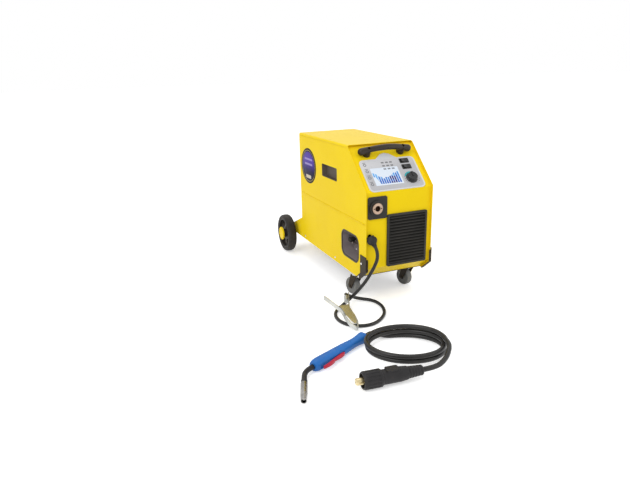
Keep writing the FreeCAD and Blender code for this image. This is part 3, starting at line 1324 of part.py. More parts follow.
def torch_coil():
    edges, _, _ = torch_coil_edges()
    tube, path = cord_solid(edges, TORCH_CABLE_R, "torch coil")
    self_gap(path, TORCH_CABLE_R, "torch coil")
    return tube


def plug_place():
    """Plug frame: local z points from the boot to the pin, lying on its collar nut."""
    heading = math.radians(PLUG_HEADING)
    along = Vector(math.cos(heading), math.sin(heading), 0)
    origin = PLUG_BOOT_END + Vector(0, FRONT, PLUG_NUT_R + FLOOR_GAP)
    return frame(origin, Z_DIR.cross(along), Z_DIR), along


def torch_lead_points():
    _, start, leave = torch_coil_edges()
    place, along = plug_place()
    boot = place.Base
    return [start, start + leave * 36, Vector(-92, FRONT - 411.5, 33), Vector(-115.5, FRONT - 430, 28),
            boot - along * 38, boot]


def torch_lead():
    return cord_solid(route_edges(torch_lead_points(), "torch lead"), TORCH_CABLE_R, "torch lead")[0]


def plug_barrel_end():
    """Where the barrel ends inside the collar nut's mouth, measured from the boot."""
    return PLUG_LENGTH + PLUG_NUT_LENGTH - PLUG_MOUTH + GAP


def torch_plug():
    """Boot and grip housing, with a raised thumb panel on top."""
    place, _ = plug_place()
    end = plug_barrel_end()
    body = lathe([(0, 0), (TORCH_CABLE_R + 1.5, 0), (TORCH_CABLE_R + 4, 30), (14.5, 40), (17, 44), (19, 62),
                  (19, PLUG_LENGTH), (PLUG_BARREL_R, PLUG_LENGTH), (PLUG_BARREL_R, end), (0, end)])
    thumb = put(pad(34, 22, 4, 0, 21), frame(Vector(0, 0, 84), Z_DIR, X_DIR))
    return put(join(body, thumb), place)


def torch_plug_nut():
    """Ribbed collar nut that runs on the plug's barrel, with a wide mouth for the socket."""
    place, _ = plug_place()
    low, high = PLUG_LENGTH + GAP, PLUG_LENGTH + PLUG_NUT_LENGTH
    bore = PLUG_BARREL_R + RUNNING
    mouth = SOCKET_R + GAP
    shell = lathe([(bore, low), (PLUG_NUT_R - 2, low), (PLUG_NUT_R, low + 3), (PLUG_NUT_R, high - 4),
                   (PLUG_NUT_R - 2, high), (mouth, high), (mouth, high - PLUG_MOUTH), (bore, high - PLUG_MOUTH)])
    flutes = []
    count = 16
    for index in range(count):
        angle = 2 * math.pi * index / count
        reach = PLUG_NUT_R + 1.2
        flutes.append(disc(2.6, low + 8, high - 8, reach * math.cos(angle), reach * math.sin(angle)))
    return put(shell.cut(flutes), place)


def torch_plug_pins():
    """Brass current and wire pin, with the small gas and switch pins beside it."""
    place, _ = plug_place()
    low = plug_barrel_end()
    high = PLUG_LENGTH + PLUG_NUT_LENGTH + PLUG_PIN_REACH
    core = disc(PLUG_BARREL_R + 1.5, low, low + 3)
    pin = lathe([(0, low), (PLUG_PIN_R, low), (PLUG_PIN_R, high - 2), (PLUG_PIN_R - 2, high), (0, high)])
    small = [disc(PILOT_R - 0.1, low, high - 8, side * PILOT_OFFSET, 0) for side in (-1, 1)]
    return put(join(core, pin, *small).cut(disc(WIRE_D * 2, low, high + 1)), place)


# Earth cable and clamp

def clamp_entry():
    """Where the earth cable enters the ferrule on the clamp's fixed half, and its direction there."""
    place = clamp_place()
    entry = place.multVec(Vector(*FERRULE_END, 0))
    return entry, place.Rotation.multVec(Vector(*FERRULE_DIR, 0)).normalize()


def earth_stations():
    """Points that the earth cable passes from its gland to the ferrule, and its heading at each."""
    tip, lean, _ = gland_tip()
    entry, into = clamp_entry()
    places = [tip] + [Vector(x, FRONT + y, z) for x, y, z in EARTH_ROUTE] + [entry - into * EARTH_LANDING]
    headings = [lean]
    for before, place, after in zip(places, places[1:], places[2:]):
        arriving = place - before
        leaving = after - place
        near, far = arriving.Length, leaving.Length
        headings.append((arriving * (far / near) + leaving * (near / far)).normalize())
    headings.append(into)
    return places, headings, entry


def earth_run(first, last):
    """Biarcs between two of the earth cable's stations."""
    places, headings, _ = earth_stations()
    edges = []
    for index in range(first, last):
        edges += biarc(places[index], headings[index], places[index + 1], headings[index + 1])
    print("earth cable: arc radii %s mm" % ", ".join("%.0f" % edge.Curve.Radius for edge in edges))
    return edges


def earth_lead():
    """Hanging part of the earth cable, from its gland to near the floor."""
    return cord_solid(earth_run(0, EARTH_HANGING), EARTH_CABLE_R, "earth lead")[0]


def earth_coil():
    """The earth cable's loop on the floor, up to the ferrule."""
    places, _, entry = earth_stations()
    last = len(places) - 1
    edges = earth_run(EARTH_HANGING, last) + [Part.LineSegment(places[last], entry).toShape()]
    tube, path = cord_solid(edges, EARTH_CABLE_R, "earth coil")
    self_gap(path, EARTH_CABLE_R, "earth coil")
    return tube


def clamp_place():
    """Clamp frame: local x points to the jaws, local y sideways, local z across the sheet."""
    heading = math.radians(CLAMP_HEADING)
    flat = Vector(math.cos(heading), math.sin(heading), 0)
    tilt = math.radians(CLAMP_TILT)
    along = flat * math.cos(tilt) - Z_DIR * math.sin(tilt)
    return frame(CLAMP_PIVOT + Vector(0, FRONT, 0), along, Z_DIR.cross(flat))


def clamp_half(side, ear_low, ear_high):
    """One bent half: grip, waist and jaw, with two ears round the pivot."""
    line = [(-92, 43), (-80, 38), (-16, 16), (6, 14), (26, 16), (62, 13), (88, 3)]
    inner = [(x, y - CLAMP_SHEET) for x, y in line]
    inner[-1] = (line[-1][0] - 3, 0.5)
    outline = [(x, side * y) for x, y in line + inner[::-1]]
    half_height = CLAMP_HEIGHT / 2
    pieces = [slab(outline, -half_height, half_height)]
    for low, high in ((ear_low, ear_high), (-ear_high, -ear_low)):
        ear = [(-14, side * 13.6), (5, side * 13.6), (5, side * -5), (-5, side * -5)]
        pieces.append(slab(ear, low, high))
    return join(*pieces)


def clamp_fixed_half():
    """Half that carries the cable's ferrule and the pivot pin, its ears outside the other half's."""
    outer = CLAMP_HEIGHT / 2
    half = clamp_half(1, outer - 0.5, outer + 2)
    pin = disc(CLAMP_PIN_R, -outer - 2, outer + 2)
    entry = Vector(*FERRULE_END, 0)
    along = Vector(*FERRULE_DIR, 0).normalize()
    ferrule = rod(entry, along, EARTH_CABLE_R + 2, FERRULE_LENGTH)
    return put(join(half, pin, ferrule), clamp_place())


def clamp_moving_half():
    outer = CLAMP_HEIGHT / 2
    half = clamp_half(-1, outer - 3.3, outer - 0.8)
    return put(half.cut(disc(CLAMP_PIN_R + RUNNING, -outer, outer)), clamp_place())


NODES = {
    "base_tray": base_tray,
    "bottle_shelf": bottle_shelf,
    "lower_left_panel": lower_left_panel,
    "left_door": left_door,
    "door_hinge_leaf": door_hinge_leaf,
    "top_right_cover": top_right_cover,
    "front_panel": front_panel,
    "rear_panel": rear_panel,
    "feed_bulkhead": feed_bulkhead,
    "polarity_tub": polarity_tub,
    "polarity_terminals": polarity_terminals,
    "control_fascia": control_fascia,
    "carry_handle": carry_handle,
    "switch_housings": switch_housings,
    "power_rocker": lambda: rocker(ROCKER_PLACES[0]),
    "range_rocker": lambda: rocker(ROCKER_PLACES[1]),
    "current_knob": current_knob,
    "socket_plate": socket_plate,
    "torch_socket": torch_socket,
    "louvre_grille": louvre_grille,
    "earth_gland": earth_gland,
    "corner_guards": corner_guards,
    "case_screws": case_screws,
    "rear_axle": rear_axle,
    "hub_caps": hub_caps,
    "rear_rim_left": lambda: rear_rim(-1),
    "rear_rim_right": lambda: rear_rim(1),
    "rear_tyre_left": lambda: rear_tyre(-1),
    "rear_tyre_right": lambda: rear_tyre(1),
    "caster_plates": caster_plates,
    "caster_fork_left": lambda: caster_fork(-1),
    "caster_fork_right": lambda: caster_fork(1),
    "caster_wheel_left": lambda: caster_wheel(-1),
    "caster_wheel_right": lambda: caster_wheel(1),
    "transformer_core": transformer_core,
    "transformer_windings": transformer_windings,
    "rectifier_heatsink": rectifier_heatsink,
    "fan_frame": fan_frame,
    "fan_rotor": fan_rotor,
    "control_board": control_board,
    "gas_valve": gas_valve,
    "mains_gland": mains_gland,
    "feed_motor": feed_motor,
    "drive_roller": drive_roller,
    "pressure_arm": pressure_arm,
    "pressure_roller": pressure_roller,
    "wire_spool": wire_spool,
    "torch_handle": torch_handle,
    "torch_trigger": torch_trigger,
    "torch_neck": torch_neck,
    "torch_nozzle": torch_nozzle,
    "torch_coil": torch_coil,
    "torch_lead": torch_lead,
    "torch_plug": torch_plug,
    "torch_plug_nut": torch_plug_nut,
    "torch_plug_pins": torch_plug_pins,
    "earth_coil": earth_coil,
    "earth_lead": earth_lead,
    "clamp_fixed_half": clamp_fixed_half,
    "clamp_moving_half": clamp_moving_half,
}

os.makedirs("parts", exist_ok=True)
for node, make in NODES.items():
    shape = make()
    sound = shape.isValid() and shape.Volume > 0
    note = "" if sound else ", NOT SOUND"
    print("%s: %d solid(s), %.1f cm3%s" % (node, len(shape.Solids), shape.Volume / 1000, note))
    shape.exportStep("parts/%s.step" % node)
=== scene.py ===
import math

import bpy
from mathutils import Matrix, Vector


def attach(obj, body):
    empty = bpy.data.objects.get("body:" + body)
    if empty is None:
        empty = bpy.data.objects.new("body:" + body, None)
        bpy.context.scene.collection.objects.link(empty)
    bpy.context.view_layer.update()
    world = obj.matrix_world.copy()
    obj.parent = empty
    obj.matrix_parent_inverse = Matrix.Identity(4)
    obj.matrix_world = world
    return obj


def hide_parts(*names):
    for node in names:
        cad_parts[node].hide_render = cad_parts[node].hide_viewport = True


# MIG welder on its cart. Its front faces -Y. Lengths are in millimetres, as in the part's source,
# except in the lamps and the depths of bumps, which are in metres.

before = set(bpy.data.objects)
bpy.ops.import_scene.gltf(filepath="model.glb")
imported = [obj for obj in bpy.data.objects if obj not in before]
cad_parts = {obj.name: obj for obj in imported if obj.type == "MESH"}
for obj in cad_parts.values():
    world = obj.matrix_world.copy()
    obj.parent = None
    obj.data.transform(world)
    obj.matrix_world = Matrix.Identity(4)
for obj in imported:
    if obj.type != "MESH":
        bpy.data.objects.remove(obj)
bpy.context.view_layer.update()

FRONT = -378.75
LIP = 9.0
PANEL = FRONT + LIP
SIDE = 120.0
SLOPE_Z = 379.0
SLOPE_BACK = 136.0
TOP_Z = 508.0
SLOPE_LENGTH = math.hypot(SLOPE_BACK, TOP_Z - SLOPE_Z)
COS = SLOPE_BACK / SLOPE_LENGTH
SIN = (TOP_Z - SLOPE_Z) / SLOPE_LENGTH
X, Y, Z = Vector((1, 0, 0)), Vector((0, 1, 0)), Vector((0, 0, 1))

DECAL_BACK = 478.0
DECAL_Z = 392.0
DECAL_WIDTH = 148.0
DECAL_HEIGHT = 133.0
RECESS_BACK = 282.0
RECESS_Z = 398.0
RECESS_LENGTH = 129.6
RECESS_HEIGHT = 44.6
RECESS_DEPTH = 19.6
FILM_WIDTH = 190.0
FILM_LENGTH = 115.0
FILM_UP = 65.5
# Sheet behind the grille's slats, a painted shade for the cabinet's dark inside.
SHADE_SHEET_WIDTH = 140.0
SHADE_SHEET_HEIGHT = 166.0
SHADE_SHEET_X = 31.0
SHADE_SHEET_Z = 213.0
TUB_LIP = 1.5
GLAND_LENGTH = 34.0
GRIP_LENGTH = 40.0
GRIP_R = 15.2


def frame_at(origin, along_x, along_y):
    """Matrix of a local frame, from millimetres in it to metres in the scene."""
    ax = Vector(along_x).normalized()
    ay = Vector(along_y).normalized()
    az = ax.cross(ay)
    turn = Matrix((ax, ay, az)).transposed().to_4x4()
    return Matrix.Translation(Vector(origin) / 1000) @ turn @ Matrix.Scale(0.001, 4)


SLOPE = frame_at((0, FRONT + LIP * SIN, SLOPE_Z - LIP * COS), X, (0, COS, SIN))
FACE = frame_at((0, PANEL, 0), X, Z)
LEFT = frame_at((-SIDE, FRONT, 0), -Y, Z)

# Camera and light

CAMERA_PLACE = Vector((-868.5, -1452.3 + FRONT, 741.5))
CAMERA_TURN = Matrix(((0.926047, 0.142040, -0.349659),
                      (-0.376484, 0.282902, -0.882171),
                      (-0.026385, 0.948573, 0.315456)))
FOCAL_PIXELS = 544.75
PICTURE_PIXELS = 630
SENSOR_WIDTH = 36.0
WORLD_LIGHT = 0.70
WORLD_SEEN = 1.0


def camera():
    data = bpy.data.cameras.new("view")
    data.sensor_width = SENSOR_WIDTH
    data.lens = FOCAL_PIXELS / PICTURE_PIXELS * SENSOR_WIDTH
    data.clip_start = 0.05
    obj = bpy.data.objects.new("view", data)
    obj.matrix_world = Matrix.Translation(CAMERA_PLACE / 1000) @ CAMERA_TURN.to_4x4()
    bpy.context.collection.objects.link(obj)
    bpy.context.scene.camera = obj


def area(name, place, aim, size, power):
    """Rectangular lamp, with its place, aim and size in metres and its power in watts."""
    data = bpy.data.lights.new(name, "AREA")
    data.shape = "RECTANGLE"
    data.size, data.size_y = size
    data.energy = power
    obj = bpy.data.objects.new(name, data)
    obj.location = place
    obj.rotation_euler = (Vector(aim) - Vector(place)).to_track_quat("-Z", "Y").to_euler()
    bpy.context.collection.objects.link(obj)


def studio():
    """White room light from all round, a key lamp at the left, a fill at the right and one above."""
    scene = bpy.context.scene
    scene.view_settings.view_transform = "Standard"
    scene.view_settings.look = "None"
    world = bpy.data.worlds.new("studio")
    world.use_nodes = True
    tree = world.node_tree
    back = tree.nodes["Background"]
    back.inputs["Color"].default_value = (1.0, 1.0, 1.0, 1)
    feed(tree, back.inputs["Strength"], looked_at(tree).ramp(0.0, 1.0, WORLD_LIGHT, WORLD_SEEN))
    scene.world = world
    area("key", (-2.6, -1.9, 2.9), (0, 0, 0.2), (2.2, 1.6), 50)
    area("fill", (2.4, -2.6, 1.7), (0, 0, 0.2), (2.0, 1.6), 15)
    area("top", (0.2, 0.6, 3.2), (0, 0, 0.3), (2.6, 2.6), 20)


# Shading: a small class for arithmetic on sockets, and one method for every other node


class Value:
    """A socket in a node tree that works in an expression like a number."""

    def __init__(self, tree, socket):
        self.tree = tree
        self.socket = socket

    def node(self, kind, output, inputs=None, **settings):
        """Add a node: its settings first, then the values or links of its sockets."""
        item = self.tree.nodes.new("ShaderNode" + kind)
        for key, value in settings.items():
            setattr(item, key, value)
        for key, value in (inputs or {}).items():
            feed(self.tree, item.inputs[key], value)
        return Value(self.tree, item.outputs[output])

    def math(self, operation, *numbers):
        return self.node("Math", 0, dict(enumerate(numbers)), operation=operation)

    def __add__(self, other):
        return self.math("ADD", self, other)

    __radd__ = __add__

    def __sub__(self, other):
        return self.math("SUBTRACT", self, other)

    def __rsub__(self, other):
        return self.math("SUBTRACT", other, self)

    def __mul__(self, other):
        return self.math("MULTIPLY", self, other)

    __rmul__ = __mul__

    def __truediv__(self, other):
        return self.math("DIVIDE", self, other)

    def __gt__(self, other):
        return self.math("GREATER_THAN", self, other)

    def __lt__(self, other):
        return self.math("LESS_THAN", self, other)

    def __abs__(self):
        return self.math("ABSOLUTE", self)

    def __pow__(self, other):
        return self.math("POWER", self, other)

    def floor(self):
        return self.math("FLOOR", self)

    def between(self, low, high):
        """One inside a span, none outside it."""
        return (self > low) * (self < high)

    def ramp(self, low, high, first=0.0, last=1.0):
        """Smooth step from one number to another."""
        ends = {"Value": self, "From Min": low, "From Max": high, "To Min": first, "To Max": last}
        return self.node("MapRange", "Result", ends, interpolation_type="SMOOTHSTEP")

    def mix(self, first, second):
        """Colour between two, by this value."""
        return self.node("Mix", 2, {"Factor": self, 6: first, 7: second}, data_type="RGBA")


def feed(tree, slot, value):
    if isinstance(value, Value):
        tree.links.new(value.socket, slot)
    elif isinstance(value, tuple) and len(value) == 3 and slot.type == "RGBA":
        slot.default_value = (*value, 1)
    else:
        slot.default_value = value


def looked_at(tree):
    """One where the camera sees a surface straight, in a mirror or through glass."""
    path = tree.nodes.new("ShaderNodeLightPath")
    seen = [Value(tree, path.outputs[name])
            for name in ("Is Camera Ray", "Is Glossy Ray", "Is Transmission Ray")]
    either = seen[0].math("MAXIMUM", seen[0], seen[1])
    return either.math("MAXIMUM", either, seen[2])


class Finish:
    """A material, its object coordinates in millimetres and its principled shader."""

    def __init__(self, name, rough=0.5, metal=0.0, specular=0.3):
        self.material = bpy.data.materials.new(name)
        self.material.use_nodes = True
        self.tree = self.material.node_tree
        self.shader = self.tree.nodes["Principled BSDF"]
        self.set("Roughness", rough)
        self.set("Metallic", metal)
        self.set("Specular IOR Level", specular)
        where = self.tree.nodes.new("ShaderNodeTexCoord")
        self.place = Value(self.tree, where.outputs["Object"])
        apart = self.tree.nodes.new("ShaderNodeSeparateXYZ")
        feed(self.tree, apart.inputs[0], self.place)
        self.x, self.y, self.z = (Value(self.tree, apart.outputs[k]) * 1000.0 for k in range(3))

    def set(self, name, value):
        feed(self.tree, self.shader.inputs[name], value)

    def noise(self, scale, detail=3.0, stretch=None):
        place = self.place
        if stretch:
            place = place.node("Mapping", "Vector", {"Vector": place, "Scale": stretch})
        inputs = {"Vector": place, "Scale": scale, "Detail": detail, "Roughness": 0.55}
        return place.node("TexNoise", "Fac", inputs)

    def grains(self, scale):
        inputs = {"Vector": self.place, "Scale": scale}
        return self.place.node("TexVoronoi", "Distance", inputs, feature="F1")

    def bump(self, height, depth, strength=1.0):
        ends = {"Height": height, "Distance": depth, "Strength": strength}
        self.set("Normal", self.place.node("Bump", "Normal", ends))


def painted(name, color, shade, rough=0.3, specular=0.03):
    """Powder coat: slight orange peel and faint tone changes."""
    paint = Finish(name, rough=rough, specular=specular)
    paint.set("Base Color", paint.noise(6.0, 4.0).ramp(0.35, 0.65).mix(color, shade))
    speck = paint.noise(420.0, 2.0)
    paint.set("Roughness", speck.ramp(0.3, 0.7, rough - 0.05, rough + 0.08))
    paint.bump(speck, 0.0001, 0.3)
    return paint.material


def moulded(name, color, light, rough=0.5, grain=900.0, depth=0.00018, strength=0.5, specular=0.25):
    """Moulded plastic with a spark-eroded grain and slightly uneven gloss."""
    paint = Finish(name, rough=rough, specular=specular)
    paint.set("Base Color", paint.noise(14.0, 4.0).ramp(0.3, 0.7).mix(color, light))
    paint.set("Roughness", paint.noise(60.0, 3.0).ramp(0.3, 0.7, rough - 0.07, rough + 0.09))
    paint.bump(paint.grains(grain), depth, strength)
    return paint.material


def metal(name, color, shade, rough=0.3, stretch=(1, 1, 30), scale=160.0):
    """Metal with fine directional marks and patches of duller surface."""
    paint = Finish(name, rough=rough, metal=1.0)
    paint.set("Base Color", paint.noise(22.0, 5.0).ramp(0.3, 0.7).mix(color, shade))
    marks = paint.noise(scale, 3.0, stretch=stretch)
    paint.set("Roughness", marks.ramp(0.25, 0.75, rough - 0.08, rough + 0.14))
    paint.bump(marks, 0.00006, 0.4)
    return paint.material


def sheath(name, color, light):
    """Cable sheath: smooth, a little dusty, with a faint drawn texture."""
    rough = 0.34
    paint = Finish(name, rough=rough, specular=0.4)
    dust = paint.noise(38.0, 5.0).ramp(0.42, 0.75)
    paint.set("Base Color", dust.mix(color, light))
    paint.set("Roughness", dust.ramp(0.0, 1.0, rough, rough + 0.2))
    paint.bump(paint.noise(500.0, 2.0), 0.0001, 0.35)
    return paint.material


def band(value, half, edge):
    """One within a half width of zero, with soft edges."""
    return abs(value).ramp(half, half + edge, 1.0, 0.0)


def sticker():
    """Oval sticker: dark rim, thin gold line, navy field that turns purple, and a pale bar."""
    paint = Finish("oval_sticker", rough=0.4, specular=0.04)
    u = (FRONT + DECAL_BACK - paint.y) / (DECAL_WIDTH / 2)
    v = (paint.z - DECAL_Z) / (DECAL_HEIGHT / 2)
    ring = (u * u + v * v) ** 0.5
    gold = ring.between(0.865, 0.895)
    field = (v + 0.15).ramp(-0.3, 0.5).mix((0.016, 0.014, 0.050), (0.100, 0.062, 0.36))
    lines = band(u, 0.5, 0.02) * (abs(abs(v - 0.24) - 0.14) - 0.055).ramp(-0.01, 0.01, 1.0, 0.0)
    lined = (lines * 0.6).mix(field, (0.50, 0.42, 0.72))
    bar = band(u + 0.02, 0.33, 0.02) * band(v + 0.62, 0.085, 0.02)
    barred = bar.mix(lined, (0.62, 0.55, 0.44))
    golden = gold.mix(barred, (0.50, 0.40, 0.18))
    rim = (ring > 0.80) * (1 - gold)
    paint.set("Base Color", rim.mix(golden, (0.014, 0.010, 0.012)))
    paint.set("Roughness", paint.noise(80.0).ramp(0.3, 0.7, 0.34, 0.46))
    return paint.material


def slope_place(paint):
    """Places along and up the sloping face, in millimetres from its front edge."""
    return paint.x, (paint.y - FRONT - LIP * SIN) * COS + (paint.z - SLOPE_Z + LIP * COS) * SIN


INK = (0.10, 0.10, 0.11)


def chart(u, v, ground):
    """Stepped chart of blue cells on pale paper, its columns low in the middle."""
    columns = (u + 70.0) / 7.8
    column = columns.floor()
    row = ((v - 30.0) / 6.6).floor()
    cell_place = u.node("CombineXYZ", 0, {0: column, 1: row})
    chance = u.node("TexWhiteNoise", "Value", {"Vector": cell_place}, noise_dimensions="3D")
    column_place = u.node("CombineXYZ", 0, {0: column})
    tall = u.node("TexWhiteNoise", "Value", {"Vector": column_place}, noise_dimensions="3D")
    top = abs(u + 26.0).ramp(8.0, 46.0, 50.0, 69.0) + tall * 9.0
    low = (u + 58.0).ramp(-6.0, 6.0, 58.0, 30.0)
    inside = u.between(-69.5, 23.5) * (v < top) * (v > low)
    gap = (columns - column).ramp(0.66, 0.76, 1.0, 0.0)
    lean = (u + 20.0).ramp(-45.0, 0.0, 0.0, 0.25)
    deep = (chance * 0.45 + (60.0 - v) / 60.0 + lean).ramp(0.15, 0.8)
    cell = deep.mix((0.12, 0.42, 0.82), (0.012, 0.10, 0.48))
    navy = (tall > 0.55) * (v < 56.0) * (chance > 0.25)
    cell = navy.mix(cell, (0.022, 0.022, 0.20))
    paper = (u.between(-72.0, 27.0) * v.between(25.0, 92.0)).mix(ground, (0.70, 0.77, 0.86))
    return (inside * gap).mix(paper, cell)


def table(u, v, ground):
    """Three rows of three short marks above the chart."""
    across = (u + 26.0) / 15.0
    up = (v - 80.0) / 12.6
    left = across - across.floor()
    over = up - up.floor()
    mark = u.between(-26.0, 19.0) * v.between(80.0, 118.0)
    mark = mark * left.between(0.1, 0.76) * over.between(0.22, 0.66)
    return (mark * 0.8).mix(ground, INK)


def symbols(u, v, ground):
    """Process symbols at the left: a short line over a ring in each row."""
    middle = 84.0
    rise = 25.0
    base = v - 22.0
    height = base - (base / rise).floor() * rise
    rows = v.between(20.0, 122.0)
    away = ((u + middle) * (u + middle) + (height - 10.0) * (height - 10.0)) ** 0.5
    rings = away.between(3.0, 5.4) * rows
    bars = band(u + middle, 5.0, 0.6) * band(height - 18.5, 0.9, 0.3) * rows
    return ((rings + bars) * 0.85).mix(ground, (0.09, 0.09, 0.10))


def dial(u, v, ground):
    """Scale round the knob, teal over its upper left."""
    dx = u - 62.0
    dy = v - 41.0
    away = (dx * dx + dy * dy) ** 0.5
    angle = dy.math("ARCTAN2", dy, dx)
    steps = angle * (11.0 / math.pi)
    tick = abs(steps - (steps + 0.5).floor()) < 0.12
    ticked = (tick * away.between(23.5, 27.0) * (v > 24.0)).mix(ground, INK)
    arc = away.between(21.0, 26.0) * angle.between(1.5, 2.75)
    return arc.mix(ticked, (0.04, 0.42, 0.46))


def face_print_and_glint():
    """Printed film of the control face: a chart, a table, plain symbols and the knob's scale, over a
    painted highlight that lightens its upper left.
    """
    paint = Finish("face_print_and_glint", rough=0.3, specular=0.3)
    u, v = slope_place(paint)
    ground = paint.noise(7.0, 2.0).ramp(0.3, 0.7).mix((0.43, 0.43, 0.45), (0.50, 0.50, 0.52))
    # Painted highlight: the grey ground lightens towards the top of the face, most at its left.
    print_and_glint = (v - u * 0.2).ramp(70.0, 130.0).mix(ground, (0.62, 0.62, 0.64))
    for part in (chart, table, symbols, dial):
        print_and_glint = part(u, v, print_and_glint)
    paint.set("Base Color", print_and_glint)
    paint.set("Roughness", paint.noise(60.0).ramp(0.3, 0.7, 0.26, 0.38))
    return paint.material


def grille_shade_weave():
    """Painted shade: a near-black coarse weave that stands in for the dark inside of the cabinet behind
    the grille.
    """
    paint = Finish("grille_shade_mat", rough=0.9, specular=0.05)
    weave = paint.noise(900.0, 3.0)
    paint.set("Base Color", weave.ramp(0.35, 0.7).mix((0.006, 0.006, 0.006), (0.030, 0.029, 0.028)))
    paint.bump(weave, 0.0006, 0.8)
    return paint.material


def tub_liner():
    """Grey moulding of the polarity tub, darker on the lip outside the panel."""
    paint = Finish("tub_grey", rough=0.55, specular=0.2)
    grey = paint.noise(14.0, 4.0).ramp(0.3, 0.7).mix((0.235, 0.200, 0.205), (0.265, 0.230, 0.232))
    lip = paint.x < TUB_LIP - SIDE
    paint.set("Base Color", lip.mix(grey, (0.060, 0.048, 0.040)))
    paint.bump(paint.grains(1100.0), 0.00018, 0.5)
    return paint.material


YELLOW = painted("cabinet_yellow", (0.910, 0.660, 0.010), (0.880, 0.630, 0.010))
BLACK_PAINT = painted("black_coat", (0.034, 0.025, 0.016), (0.046, 0.036, 0.025),
                      rough=0.42, specular=0.1)
MOTOR = painted("motor_grey", (0.10, 0.11, 0.12), (0.14, 0.15, 0.16), rough=0.45)

BLACK = moulded("black_moulding", (0.024, 0.023, 0.020), (0.034, 0.032, 0.028), rough=0.46)
HANDLE = moulded("handle_grip", (0.020, 0.014, 0.009), (0.034, 0.024, 0.016),
                 rough=0.34, grain=1500.0, depth=0.00006, specular=0.3)
SOFT_BLACK = moulded("soft_black", (0.016, 0.015, 0.016), (0.028, 0.026, 0.027), grain=1400.0)
RECESS = moulded("recess_liner", (0.105, 0.082, 0.066), (0.130, 0.104, 0.086), rough=0.55, grain=1100.0)
TUB_GREY = tub_liner()
GREY_FACE = moulded("fascia_grey", (0.60, 0.62, 0.64), (0.66, 0.68, 0.70),
                    rough=0.3, grain=2600.0, depth=0.00004, strength=0.3)
GLOSS_BLACK = moulded("gloss_black", (0.014, 0.014, 0.015), (0.02, 0.02, 0.022),
                      rough=0.22, grain=1800.0, depth=0.00003, strength=0.2, specular=0.4)
TYRE = moulded("tyre_rubber", (0.020, 0.018, 0.017), (0.040, 0.036, 0.033),
               rough=0.62, grain=700.0, depth=0.00025)
RIM = moulded("rim_plastic", (0.030, 0.026, 0.023), (0.042, 0.037, 0.033), grain=1200.0)
CASTER = moulded("caster_wheel", (0.16, 0.16, 0.155), (0.22, 0.22, 0.215), rough=0.45, grain=1200.0)
BOARD = moulded("circuit_board", (0.02, 0.16, 0.06), (0.03, 0.22, 0.09), rough=0.35, grain=300.0)
BLUE = moulded("torch_blue", (0.015, 0.135, 0.45), (0.024, 0.165, 0.52),
               rough=0.34, grain=1500.0, depth=0.0001)
RED = moulded("trigger_red", (0.46, 0.012, 0.040), (0.52, 0.020, 0.055),
              rough=0.34, grain=1500.0, depth=0.0001)

ZINC = metal("zinc_plate", (0.56, 0.57, 0.55), (0.40, 0.41, 0.40), rough=0.38)
STEEL = metal("bright_steel", (0.55, 0.55, 0.55), (0.42, 0.42, 0.42), rough=0.28, stretch=(30, 1, 1))
CHROME = metal("plated_screw", (0.80, 0.80, 0.80), (0.68, 0.68, 0.68), rough=0.16)
BRASS = metal("brass", (0.78, 0.68, 0.42), (0.64, 0.53, 0.30), stretch=(1, 20, 1))
STUD = metal("dull_brass", (0.30, 0.26, 0.24), (0.22, 0.19, 0.17), rough=0.4, stretch=(20, 1, 1))
SOCKET_METAL = metal("socket_metal", (0.50, 0.36, 0.27), (0.36, 0.26, 0.19), rough=0.4)
COPPER = metal("copper_wire", (0.72, 0.36, 0.20), (0.52, 0.24, 0.13), rough=0.35, stretch=(60, 1, 1))
ALUMINIUM = metal("extruded_alu", (0.72, 0.73, 0.74), (0.60, 0.61, 0.62),
                  rough=0.36, stretch=(1, 30, 1))
LAMINATION = metal("laminated_core", (0.20, 0.20, 0.21), (0.11, 0.11, 0.12),
                   rough=0.5, stretch=(1, 60, 1))
NOZZLE = metal("nozzle_plate", (0.50, 0.49, 0.48), (0.22, 0.21, 0.20),
               rough=0.26, stretch=(4, 4, 1), scale=60.0)

CABLE = sheath("cable_sheath", (0.012, 0.011, 0.010), (0.024, 0.023, 0.021))
STICKER = sticker()
PRINT_AND_GLINT = face_print_and_glint()
GRILLE_SHADE = grille_shade_weave()


FINISH = {
    YELLOW: ("lower_left_panel", "left_door", "top_right_cover", "front_panel", "rear_panel",
             "door_hinge_leaf", "bottle_shelf", "hub_caps"),
    BLACK_PAINT: ("base_tray", "corner_guards", "rear_axle", "caster_fork_left", "caster_fork_right"),
    HANDLE: ("carry_handle",),
    BLACK: ("switch_housings", "socket_plate", "louvre_grille", "earth_gland", "mains_gland",
            "fan_frame", "fan_rotor"),
    TUB_GREY: ("polarity_tub",),
    GREY_FACE: ("control_fascia",),
    GLOSS_BLACK: ("power_rocker", "range_rocker", "current_knob"),
    TYRE: ("rear_tyre_left", "rear_tyre_right"),
    RIM: ("rear_rim_left", "rear_rim_right"),
    CASTER: ("caster_wheel_left", "caster_wheel_right"),
    ZINC: ("feed_bulkhead", "caster_plates", "clamp_fixed_half", "clamp_moving_half"),
    STEEL: ("drive_roller", "pressure_roller"),
    CHROME: ("case_screws",),
    BRASS: ("torch_plug_pins", "gas_valve"),
    SOCKET_METAL: ("torch_socket",),
    STUD: ("polarity_terminals",),
    COPPER: ("transformer_windings", "wire_spool"),
    LAMINATION: ("transformer_core",),
    ALUMINIUM: ("rectifier_heatsink",),
    BOARD: ("control_board",),
    MOTOR: ("feed_motor", "pressure_arm"),
    BLUE: ("torch_handle",),
    RED: ("torch_trigger",),
    SOFT_BLACK: ("torch_neck", "torch_plug", "torch_plug_nut"),
    NOZZLE: ("torch_nozzle",),
    CABLE: ("torch_coil", "torch_lead", "earth_coil", "earth_lead"),
}


def finish_nodes():
    """Give each CAD node its finish in every slot."""
    for material, names in FINISH.items():
        for name in names:
            node = bpy.data.objects[name]
            if not node.material_slots:
                node.data.materials.append(material)
            for slot in node.material_slots:
                slot.material = material


# Cords: each spline's control points are the points of the cable's route


